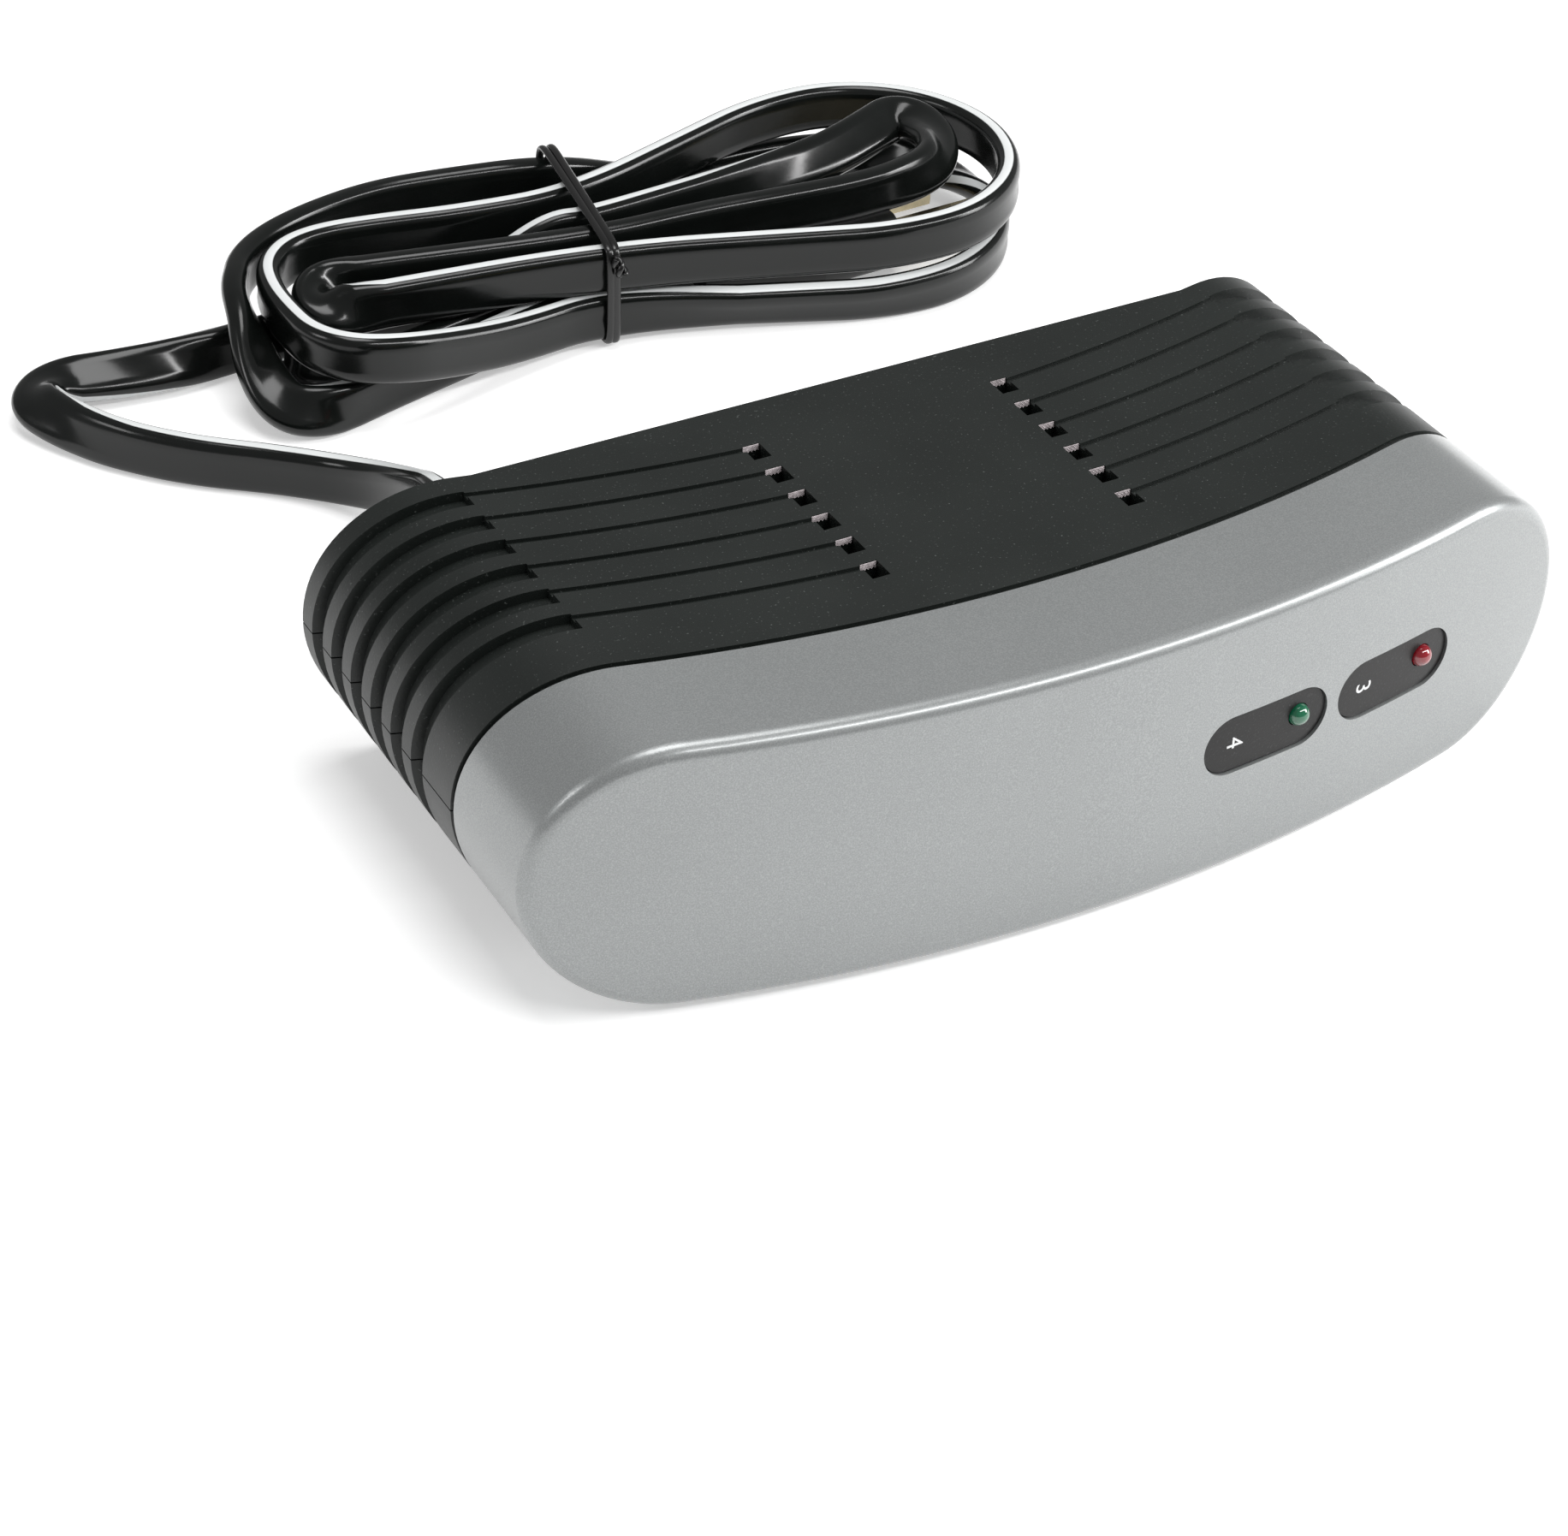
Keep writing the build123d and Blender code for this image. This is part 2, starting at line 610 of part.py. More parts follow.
def turn_of(points, k):
    """The turn of a route at its point k, in radians."""
    before = np.subtract(points[k], points[k - 1])
    after = np.subtract(points[k + 1], points[k])
    cosine = np.dot(before, after) / np.linalg.norm(before) / np.linalg.norm(after)
    return math.acos(min(1.0, max(-1.0, cosine)))


# Free stretch of the cord: out of the relief, down to the floor, back and into the hank.
hank_start = (-46.0, 131.5, floor_z)
cord_points = [
    (cord_x, relief_end_y, cord_z),
    (cord_x, 62.0, cord_z),
    (-42.8, 75.0, 8.6),
    (-45.4, 86.5, 4.6),
    (-54.0, 96.0, floor_z),
    (-65.5, 107.5, floor_z),
    (-73.5, 118.5, floor_z),
    (-77.0, 128.0, floor_z),
    (-72.0, 134.3, floor_z),
    (-60.0, 132.8, floor_z),
    (-52.0, 131.5, floor_z),
    hank_start,
]
cord_radii = []
for k in range(1, len(cord_points) - 1):
    runs = [math.dist(cord_points[k], cord_points[k + step]) for step in (-1, 1)]
    cord_radii.append(0.45 * min(runs) / math.tan(turn_of(cord_points, k) / 2))
print("cord radii", [round(radius, 1) for radius in cord_radii])

with BuildPart() as mains_cord:
    with BuildLine() as cord_path:
        FilletPolyline(*cord_points, radius=cord_radii)
    with BuildSketch(Plane(origin=cord_points[0], z_dir=cord_path.line % 0)):
        Circle(tube_diameter / 2)
    sweep(path=cord_path.line)
export(mains_cord, "mains_cord")
tube_area = math.pi * tube_diameter**2 / 4
cord_length = cord_path.wire().length
print("cord length", round(cord_length, 1))
print("cord volume over section times length", round(mains_cord.part.volume / tube_area / cord_length, 4))

# Hank: half turns at either end, joined by runs that draw in at the waist. Each half turn is
# x, y of its centre, its radius, its layer, its end of the hank and the way it goes round.
low = floor_z
high = floor_z + layer_step
over_plug = 14.3
half_turns = [
    (40.0, 139.0, 4.1, low, 1, -1),
    (-35.6, 120.25, 6.6, low, -1, -1),
    (64.0, 122.0, 9.0, over_plug, 1, -1),
    (-33.0, 124.2, 4.1, high, -1, 1),
    (58.0, 124.3, 22.8, high, 1, 1),
    (-25.8, 120.6, 16.9, high, -1, 1),
    (55.3, 128.6, 23.0, low, 1, 1),
    (-26.8, 128.4, 22.4, high, -1, 1),
]
# Where each run crosses the slanting waist, as y and layer.
waist_crossings = [
    (132.6, low),
    (122.8, low),
    (125.8, high),
    (120.5, high),
    (116.6, high),
    (134.0, high),
    (113.7, low),
    (146.0, high),
    (118.0, low),
]
plug_neck_start = (25.0, 119.6, floor_z + 1.0)
turn_ease = 0.985
widest_first_arc = 19.5


def waist_point(crossing):
    """The place where a run crosses the waist, a little above its layer."""
    return (waist_x + waist_slant * (crossing[0] - waist_y), crossing[0], crossing[1] + waist_lift)


# The points between one half turn and the next. The inner run on the floor stays low until it
# is clear of the loops above, then climbs to the waist.
between = [[waist_point(crossing)] for crossing in waist_crossings]
between[2].insert(0, (-12.0, 128.0, low))
between[8].append((18.0, 118.9, floor_z + 1.0))


# Two of the left loops leave their end lower than a circle would: the bold one lifts over the
# outer one, and the outer one comes down to the floor. Each is a list of corners and radii.
sagging_ends = {
    5: [((-42.8, 103.0, high + 2.2), 16.5)],
    7: [((-49.2, 128.5, high), 8.0), ((-48.6, 115.5, 5.2), 9.0), ((-46.0, 107.0, low), 6.0)],
}


def tangent_slope(start, centre, radius, way):
    """Direction of the line from a point that touches a half turn's circle."""
    reach_x = centre[0] - start[0]
    reach_y = centre[1] - start[1]
    return math.atan2(reach_y, reach_x) - way * math.asin(radius / math.hypot(reach_x, reach_y))


hank_points = [hank_start, (-34.0, 131.9, floor_z)]
half_turn_radius = {}
for k, (x, y, radius, z, side, way) in enumerate(half_turns):
    hank_points.extend(between[k])
    arrive_from = between[k][-1]
    leave_to = between[k + 1][0]
    end_x = x + side * radius
    arrive = math.tan(tangent_slope(arrive_from, (x, y), radius, way))
    leave = math.tan(tangent_slope(leave_to, (x, y), radius, -way))
    half_turn_radius[len(hank_points)] = min(turn_ease * radius, widest_first_arc)
    hank_points.append((end_x, arrive_from[1] + arrive * (end_x - arrive_from[0]), z))
    if k in sagging_ends:
        for point, corner_radius in sagging_ends[k]:
            half_turn_radius[len(hank_points)] = corner_radius
            hank_points.append(point)
    else:
        half_turn_radius[len(hank_points)] = turn_ease * radius
        hank_points.append((end_x, leave_to[1] + leave * (end_x - leave_to[0]), z))
hank_points.extend(between[-1])
hank_points.append(plug_neck_start)


def room_before(k, neighbour):
    """Length of the run from point k to a neighbour that the neighbour's own arc leaves free."""
    run = math.dist(hank_points[k], hank_points[neighbour])
    if neighbour in half_turn_radius:
        return run - half_turn_radius[neighbour] * math.tan(turn_of(hank_points, neighbour) / 2)
    return run / 2


hank_radii = []
for k in range(1, len(hank_points) - 1):
    if k in half_turn_radius:
        hank_radii.append(half_turn_radius[k])
    else:
        room = min(room_before(k, k - 1), room_before(k, k + 1))
        hank_radii.append(0.9 * room / math.tan(turn_of(hank_points, k) / 2))
print("hank radii", [round(radius, 1) for radius in hank_radii])

with BuildPart() as cord_hank:
    with BuildLine() as hank_path:
        FilletPolyline(*hank_points, radius=hank_radii)
    with BuildSketch(Plane(origin=hank_start, x_dir=(0, 0, 1), z_dir=(1, 0, 0))):
        SlotOverall(cord_width, cord_thick)
    upright_guide = hank_path.wire().moved(Location((0, 0, 40)))
    sweep(path=hank_path.line, binormal=upright_guide)
export(cord_hank, "cord_hank")

# Least gap of the hank to itself. Its section is an upright slot, so two stretches are apart
# by the distance between their upright core lines, less the cord's thickness.
hank_wire = hank_path.wire()
station_count = int(hank_wire.length)
stations = np.array([tuple(hank_wire @ (k / station_count)) for k in range(station_count + 1)])
least_gap = 99.0
for k in range(station_count - 14):
    spans = stations[k + 14 :] - stations[k]
    level = np.hypot(spans[:, 0], spans[:, 1])
    upright = np.maximum(0, np.abs(spans[:, 2]) - (cord_width - cord_thick))
    least_gap = min(least_gap, np.hypot(level, upright).min() - cord_thick)
print("hank least gap to itself", round(float(least_gap), 2))
lowest = float(stations[:, 2].min()) - cord_width / 2
print("hank length", round(hank_wire.length, 1), "lowest point", round(lowest, 2))
slot_area = cord_thick * (cord_width - cord_thick) + math.pi * cord_thick**2 / 4
print("hank volume over section times length", round(cord_hank.part.volume / slot_area / hank_wire.length, 4))
waist_line = waist_x + waist_slant * (stations[:, 1] - waist_y)
at_waist = np.abs(stations[:, 0] - waist_line) < 0.8
print("hank at the waist", np.round(stations[at_waist][:, 1:], 1).tolist())

# Tie round the slanting waist, with its twisted ends on top.
tie_width = 3.2
tie_thickness = 0.8
tie_plane = Plane(origin=(waist_x, waist_y, 0), x_dir=(waist_slant, 1, 0), z_dir=(1, -waist_slant, 0))
with BuildPart() as cord_tie:
    with BuildSketch(tie_plane.offset(-tie_width / 2)):
        with BuildLine():
            inside_points = [
                (-5.4, 0.9),
                (-5.4, 11.0),
                (-2.3, 18.0),
                (30.0, 18.0),
                (37.2, 17.0),
                (37.2, 8.2),
                (23.1, 0.9),
            ]
            FilletPolyline(*inside_points, radius=1.2, close=True)
        make_face()
        offset(amount=tie_thickness, mode=Mode.ADD)
        with BuildLine():
            FilletPolyline(*inside_points, radius=1.2, close=True)
        make_face(mode=Mode.SUBTRACT)
    extrude(amount=tie_width)
    add(block(waist_x - 2.2, waist_x + 2.2, waist_y - 0.2, waist_y + 3.0, 18.2, 20.3))
export(cord_tie, "cord_tie")

# Plug: a neck that widens into a flat body, and two blades, lying flat inside the hank. It is
# drawn along a plane at the cord's end, with distances counted from there.
plug_plane = Plane(origin=plug_neck_start, x_dir=(-0.35, 7.0, 0), z_dir=(7.0, 0.35, 0))
plug_shoulder = 19.0
plug_face = 32.5
blade_tip = 48.0
blade_pitch = 12.7
with BuildPart() as plug_body:
    with BuildSketch(plug_plane):
        Circle(3.9)
    with BuildSketch(plug_plane.offset(plug_shoulder)):
        RectangleRounded(16.8, 9.5, 2.5)
    loft()
    with BuildSketch(plug_plane.offset(plug_shoulder)):
        RectangleRounded(16.8, 9.5, 2.5)
    extrude(amount=plug_face - plug_shoulder)
export(plug_body, "plug_body")

with BuildPart() as plug_blades:
    with BuildSketch(plug_plane.offset(plug_face)):
        with Locations((-blade_pitch / 2, 0), (blade_pitch / 2, 0)):
            Rectangle(1.5, 6.35)
    extrude(amount=blade_tip - plug_face)
    along_blades = Axis(plug_neck_start, plug_plane.z_dir)
    chamfer(plug_blades.edges().group_by(along_blades)[-1], 0.4)
export(plug_blades, "plug_blades")
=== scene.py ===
# %% [markdown]
# # An RF modulator on a white table
#
# The object is a small flat case with round ends: a black textured shell with ribs and vents, a
# silver painted cap on the front, sockets at the back and a bundled flat mains cord. The solid
# parts come in ready made, at their real size, and stay where they are. What is left to do is
# what a camera sees: finishes, light, the soft cord and the fine turned details. All lengths
# below are in metres, and `mm` turns the drawing's millimetres into them.

import bpy
import numpy as np
from mathutils import Matrix, Vector


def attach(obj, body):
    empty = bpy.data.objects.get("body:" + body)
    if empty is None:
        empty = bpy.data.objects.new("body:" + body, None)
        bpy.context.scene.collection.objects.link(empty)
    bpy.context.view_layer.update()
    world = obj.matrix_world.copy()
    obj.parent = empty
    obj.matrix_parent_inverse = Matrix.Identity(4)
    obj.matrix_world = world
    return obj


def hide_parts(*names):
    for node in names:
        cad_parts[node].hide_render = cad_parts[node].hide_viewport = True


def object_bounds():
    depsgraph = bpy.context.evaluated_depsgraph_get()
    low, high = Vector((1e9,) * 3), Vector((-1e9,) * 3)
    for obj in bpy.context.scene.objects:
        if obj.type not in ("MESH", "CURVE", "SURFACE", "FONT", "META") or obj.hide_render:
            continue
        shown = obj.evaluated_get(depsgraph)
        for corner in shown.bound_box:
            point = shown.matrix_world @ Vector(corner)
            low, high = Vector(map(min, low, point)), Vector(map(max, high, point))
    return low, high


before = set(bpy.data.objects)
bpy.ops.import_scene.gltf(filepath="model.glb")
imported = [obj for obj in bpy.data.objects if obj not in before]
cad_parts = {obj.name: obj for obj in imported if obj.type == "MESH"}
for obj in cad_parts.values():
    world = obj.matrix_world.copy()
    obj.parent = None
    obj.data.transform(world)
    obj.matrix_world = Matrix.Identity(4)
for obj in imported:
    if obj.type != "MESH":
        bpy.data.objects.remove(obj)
cad_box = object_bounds()
mm = 0.001
cad_corners = [np.round(list(corner), 3).tolist() for corner in cad_box]
print("solid parts:", len(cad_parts), "box", cad_corners)

# %% [markdown]
# ## The camera
#
# The photograph was taken from the front left and well above, with a fairly long lens. A camera
# is a place and three directions: what is to the right in the picture, what is up, and what is
# behind the camera. Written as the columns of a matrix these are the camera's pose, which is
# easier to check against a photograph than three turning angles.

# %% Place the camera
image_width_px = 1832
focal_px = 4573.03
camera_place = Vector((-225.46, -353.17, 303.68)) * mm
picture_right = Vector((0.87751, -0.47893, 0.02463))
picture_up = Vector((0.26689, 0.53038, 0.80465))
picture_back = Vector((-0.39843, -0.69952, 0.59324))

camera_data = bpy.data.cameras.new("camera")
camera_data.sensor_fit = "HORIZONTAL"
camera_data.sensor_width = 36.0
camera_data.lens = focal_px * camera_data.sensor_width / image_width_px
camera_data.clip_start = 0.01
camera = bpy.data.objects.new("camera", camera_data)
bpy.context.scene.collection.objects.link(camera)
axes = Matrix((picture_right, picture_up, picture_back)).transposed()
camera.matrix_world = Matrix.Translation(camera_place) @ axes.to_4x4()
bpy.context.scene.camera = camera
print("lens", round(camera_data.lens, 2), "mm")

# %% [markdown]
# ## Meshes from grids
#
# Every new piece here is a surface worked out as a grid of points: rows along the piece, columns
# round it. Four neighbouring points make one face. Rows and columns can each close on
# themselves, as round a tube, and an open end can be capped with one face. A second function
# puts many small open grids into one mesh, for details that repeat.


# %% A mesh from a grid of points
def new_piece(name, points, faces, smooth):
    """An object in the scene, from points in metres and faces that list their numbers."""
    mesh = bpy.data.meshes.new(name)
    mesh.from_pydata(points.reshape(-1, 3).tolist(), [], faces)
    mesh.polygons.foreach_set("use_smooth", np.full(len(faces), smooth))
    mesh.update()
    piece = bpy.data.objects.new(name, mesh)
    bpy.context.scene.collection.objects.link(piece)
    return piece


def grid_mesh(name, points, wrap_rows=False, wrap_columns=True, cap_ends=False, smooth=True):
    """Faces join each point (i, j) to its neighbours (i+1, j) and (i, j+1), modulo the wraps."""
    rows, columns = points.shape[:2]
    row_count = rows if wrap_rows else rows - 1
    column_count = columns if wrap_columns else columns - 1
    i, j = np.meshgrid(np.arange(row_count), np.arange(column_count), indexing="ij")
    next_i, next_j = (i + 1) % rows, (j + 1) % columns
    corners = [i * columns + j, i * columns + next_j, next_i * columns + next_j, next_i * columns + j]
    faces = np.stack(corners, axis=-1).reshape(-1, 4).tolist()
    if cap_ends:
        faces.append(list(range(columns))[::-1])
        faces.append(list(range((rows - 1) * columns, rows * columns)))
    return new_piece(name, points, faces, smooth)


def stack_mesh(name, grids):
    """Many equal open grids as one flat-shaded mesh: grid g's points follow those of grid g-1."""
    count, rows, columns = grids.shape[:3]
    i, j = np.meshgrid(np.arange(rows - 1), np.arange(columns - 1), indexing="ij")
    first = i * columns + j
    one_grid = np.stack([first, first + 1, first + columns + 1, first + columns], axis=-1).reshape(1, -1, 4)
    faces = (one_grid + (np.arange(count) * rows * columns)[:, None, None]).reshape(-1, 4)
    return new_piece(name, grids, faces.tolist(), False)


def make_outward(piece):
    """Turn the faces outwards where the closed mesh's signed volume is negative."""
    mesh = piece.data
    mesh.calc_loop_triangles()
    places = np.empty(len(mesh.vertices) * 3)
    mesh.vertices.foreach_get("co", places)
    places = places.reshape(-1, 3)
    triangles = np.array([tuple(triangle.vertices) for triangle in mesh.loop_triangles])
    a, b, c = (places[triangles[:, k]] for k in range(3))
    volume = np.sum(a * np.cross(b, c)) / 6
    if volume < 0:
        mesh.flip_normals()


# %% [markdown]
# ## Shared effects for the finishes
#
# Moulded plastic, paint and metal all need the same few effects: a fine grain that breaks up
# the highlights, and a slow mottling from handling and dust. Each effect is one node group with
# named inputs, built once and placed in every material with its own values. Both read the
# object's own coordinates, so the grain has the same size in millimetres on every part.


# %% Node group: fine grain
def new_group(name, inputs, outputs):
    """An empty shader group with float inputs (name: default) and outputs (name: socket type)."""
    group = bpy.data.node_groups.new(name, "ShaderNodeTree")
    for socket_name, default in inputs.items():
        socket = group.interface.new_socket(socket_name, in_out="INPUT", socket_type="NodeSocketFloat")
        socket.default_value = default
    for socket_name, socket_type in outputs.items():
        group.interface.new_socket(socket_name, in_out="OUTPUT", socket_type=socket_type)
    ends = group.nodes.new("NodeGroupInput"), group.nodes.new("NodeGroupOutput")
    return group, ends[0], ends[1]


def noise_node(tree, detail):
    """A 3-D noise on Object coordinates; its Scale is in features per metre."""
    place = tree.nodes.new("ShaderNodeTexCoord")
    noise = tree.nodes.new("ShaderNodeTexNoise")
    noise.inputs["Detail"].default_value = detail
    tree.links.new(place.outputs["Object"], noise.inputs["Vector"])
    return noise


def math_node(tree, operation, first, second):
    """A Math node whose two inputs are links or plain numbers."""
    node = tree.nodes.new("ShaderNodeMath")
    node.operation = operation
    for socket, value in zip(node.inputs, (first, second)):
        if isinstance(value, (int, float)):
            socket.default_value = value
        else:
            tree.links.new(value, socket)
    return node.outputs[0]


grain_group, grain_in, grain_out = new_group(
    "fine_grain",
    {"Size mm": 0.3, "Depth mm": 0.01, "Strength": 1.0},
    {"Normal": "NodeSocketVector", "Height": "NodeSocketFloat"},
)
grain_noise = noise_node(grain_group, 2.0)
per_metre = math_node(grain_group, "DIVIDE", 1000.0, grain_in.outputs["Size mm"])
grain_group.links.new(per_metre, grain_noise.inputs["Scale"])
depth = math_node(grain_group, "MULTIPLY", grain_in.outputs["Depth mm"], 0.001)
grain_bump = grain_group.nodes.new("ShaderNodeBump")
grain_group.links.new(grain_in.outputs["Strength"], grain_bump.inputs["Strength"])
grain_group.links.new(depth, grain_bump.inputs["Distance"])
grain_group.links.new(grain_noise.outputs[0], grain_bump.inputs["Height"])
grain_group.links.new(grain_bump.outputs["Normal"], grain_out.inputs["Normal"])
grain_group.links.new(grain_noise.outputs[0], grain_out.inputs["Height"])

# %% Node group: slow mottling
mottle_group, mottle_in, mottle_out = new_group(
    "handling_mottle",
    {"Size mm": 12.0, "Low": 0.9, "High": 1.1},
    {"Factor": "NodeSocketFloat"},
)
mottle_noise = noise_node(mottle_group, 5.0)
mottle_scale = math_node(mottle_group, "DIVIDE", 1000.0, mottle_in.outputs["Size mm"])
mottle_group.links.new(mottle_scale, mottle_noise.inputs["Scale"])
mottle_range = mottle_group.nodes.new("ShaderNodeMapRange")
mottle_range.inputs["From Min"].default_value = 0.3
mottle_range.inputs["From Max"].default_value = 0.7
mottle_group.links.new(mottle_noise.outputs[0], mottle_range.inputs["Value"])
mottle_group.links.new(mottle_in.outputs["Low"], mottle_range.inputs["To Min"])
mottle_group.links.new(mottle_in.outputs["High"], mottle_range.inputs["To Max"])
mottle_group.links.new(mottle_range.outputs["Result"], mottle_out.inputs["Factor"])
print("groups:", [group.name for group in bpy.data.node_groups])

# %% [markdown]
# ## A finish as one function
#
# A finish is a Principled shader with a colour, a roughness and a metallic value. The colour and
# the roughness are each multiplied by a mottling, and a speckle mixes in a second colour through
# the grain's own height, for metal flake in paint or dust in a moulded texture.


# %% Build a finish
def finish(
    name, colour, roughness, metallic=0.0, grain=(0.3, 0.01), speckle=None, mottle=(12.0, 0.06), **sockets
):
    """Principled material with its effects.

    grain is (size mm, depth mm), speckle (colour, from, to) and mottle (size mm, amount). Any
    other socket is named in lower case with underscores.
    """
    material = bpy.data.materials.new(name)
    material.use_nodes = True
    tree = material.node_tree
    shader = tree.nodes["Principled BSDF"]
    shader.inputs["Metallic"].default_value = metallic
    for socket_name, value in sockets.items():
        shader.inputs[socket_name.replace("_", " ").title().replace("Ior", "IOR")].default_value = value

    grain_node = tree.nodes.new("ShaderNodeGroup")
    grain_node.node_tree = grain_group
    grain_node.inputs["Size mm"].default_value = grain[0]
    grain_node.inputs["Depth mm"].default_value = grain[1]
    tree.links.new(grain_node.outputs["Normal"], shader.inputs["Normal"])

    mottle_node = tree.nodes.new("ShaderNodeGroup")
    mottle_node.node_tree = mottle_group
    mottle_node.inputs["Size mm"].default_value = mottle[0]
    mottle_node.inputs["Low"].default_value = 1 - mottle[1]
    mottle_node.inputs["High"].default_value = 1 + mottle[1]
    factor = mottle_node.outputs["Factor"]

    plain = tree.nodes.new("ShaderNodeRGB")
    plain.outputs[0].default_value = (*colour, 1)
    source = plain.outputs[0]
    if speckle:
        mix = tree.nodes.new("ShaderNodeMix")
        mix.data_type = "RGBA"
        mix.inputs["B"].default_value = (*speckle[0], 1)
        spread = tree.nodes.new("ShaderNodeMapRange")
        spread.inputs["From Min"].default_value = speckle[1]
        spread.inputs["From Max"].default_value = speckle[2]
        tree.links.new(grain_node.outputs["Height"], spread.inputs["Value"])
        tree.links.new(spread.outputs["Result"], mix.inputs["Factor"])
        tree.links.new(source, mix.inputs["A"])
        source = mix.outputs["Result"]
    tint = tree.nodes.new("ShaderNodeVectorMath")
    tint.operation = "SCALE"
    tree.links.new(source, tint.inputs[0])
    tree.links.new(factor, tint.inputs["Scale"])
    tree.links.new(tint.outputs["Vector"], shader.inputs["Base Color"])
    rough = math_node(tree, "MULTIPLY", factor, roughness)
    tree.links.new(rough, shader.inputs["Roughness"])
    return material


# %% [markdown]
# ## The finishes of this object
#
# The shell is black ABS with a spark-eroded texture: satin, slightly green-grey, with pale dust
# caught in the grain. The cap is sprayed with silver paint, whose aluminium flakes give a fine
# light and dark speckle under a soft gloss. The rest are the usual materials of such a unit,
# apart from one pale colour that is a painted highlight on the rear walls of the vent holes.

# %% Plastics and paint
shell_black = finish(
    "shell_black",
    (0.0080, 0.0105, 0.0093),
    0.40,
    grain=(0.35, 0.014),
    speckle=((0.12, 0.13, 0.125), 0.66, 0.84),
    mottle=(18.0, 0.12),
    specular_ior_level=0.42,
)
silver_paint = finish(
    "silver_paint",
    (0.262, 0.273, 0.273),
    0.34,
    metallic=0.45,
    grain=(0.17, 0.003),
    speckle=((0.37, 0.383, 0.383), 0.40, 0.80),
    mottle=(30.0, 0.03),
    coat_weight=0.5,
    coat_roughness=0.16,
)
window_grey = finish(
    "window_grey",
    (0.013, 0.0125, 0.0125),
    0.3,
    speckle=((0.04, 0.04, 0.04), 0.6, 0.8),
    specular_ior_level=0.25,
)
component_black = finish("component_black", (0.02, 0.02, 0.02), 0.5, grain=(0.25, 0.01))
insulator_white = finish("insulator_white", (0.72, 0.70, 0.64), 0.4, grain=(0.4, 0.005))
bobbin_white = finish("bobbin_white", (0.66, 0.63, 0.54), 0.5, grain=(0.4, 0.005))
phono_red = finish("phono_red", (0.48, 0.018, 0.02), 0.35, grain=(0.4, 0.005))
phono_white = finish("phono_white", (0.74, 0.74, 0.71), 0.35, grain=(0.4, 0.005))
phono_yellow = finish("phono_yellow", (0.72, 0.46, 0.02), 0.35, grain=(0.4, 0.005))
cord_tie_black = finish("cord_tie_black", (0.006, 0.006, 0.006), 0.25, grain=(0.6, 0.006))
rubber_black = finish("rubber_black", (0.015, 0.015, 0.015), 0.65, grain=(0.4, 0.02), mottle=(4.0, 0.2))
plug_black = finish("plug_black", (0.012, 0.013, 0.012), 0.3, grain=(0.4, 0.006))
wire_black = finish("wire_black", (0.015, 0.015, 0.015), 0.35, grain=(0.5, 0.005))
numeral_white = finish("numeral_white", (0.78, 0.79, 0.79), 0.5, grain=(0.2, 0.003))
# pale colour for a painted highlight: the light caught on the rear walls of the vent holes
vent_painted_highlight = finish("vent_painted_highlight", (0.50, 0.45, 0.46), 0.5, grain=(0.25, 0.03), mottle=(0.6, 0.35))

# %% Lamps and metals
lamp_look = {"grain": (0.8, 0.002), "coat_weight": 1.0, "coat_roughness": 0.03}
lamp_red = finish("lamp_red", (0.26, 0.006, 0.014), 0.12, mottle=(1.0, 0.15), **lamp_look)
lamp_green = finish("lamp_green", (0.006, 0.13, 0.06), 0.12, mottle=(1.0, 0.15), **lamp_look)
nickel_plate = finish("nickel_plate", (0.62, 0.61, 0.58), 0.2, 1.0, (0.5, 0.002), mottle=(3.0, 0.08))
zinc_steel = finish("zinc_steel", (0.50, 0.50, 0.47), 0.35, 1.0, (0.2, 0.004), mottle=(1.5, 0.15))
tinned_sheet = finish("tinned_sheet", (0.55, 0.56, 0.56), 0.3, 1.0, (1.2, 0.01), mottle=(5.0, 0.12))
core_steel = finish("core_steel", (0.16, 0.15, 0.15), 0.5, 0.8, (0.4, 0.03), mottle=(2.0, 0.25))
winding_tape = finish("winding_tape", (0.55, 0.30, 0.05), 0.35, grain=(0.7, 0.02), mottle=(5.0, 0.1))
sink_aluminium = finish("sink_aluminium", (0.48, 0.49, 0.50), 0.35, 1.0, (0.3, 0.005))
blade_brass = finish("blade_brass", (0.62, 0.54, 0.36), 0.25, 1.0, (0.4, 0.003), mottle=(2.0, 0.1))
board_green = finish("board_green", (0.012, 0.12, 0.05), 0.3, grain=(0.6, 0.01), mottle=(3.0, 0.2))
print("finishes:", len(bpy.data.materials))

# %% [markdown]
# ## Finishes on the solid parts
#
# Each solid part keeps its shape and only takes a finish. A small table, finish by finish, says
# which parts it goes on.

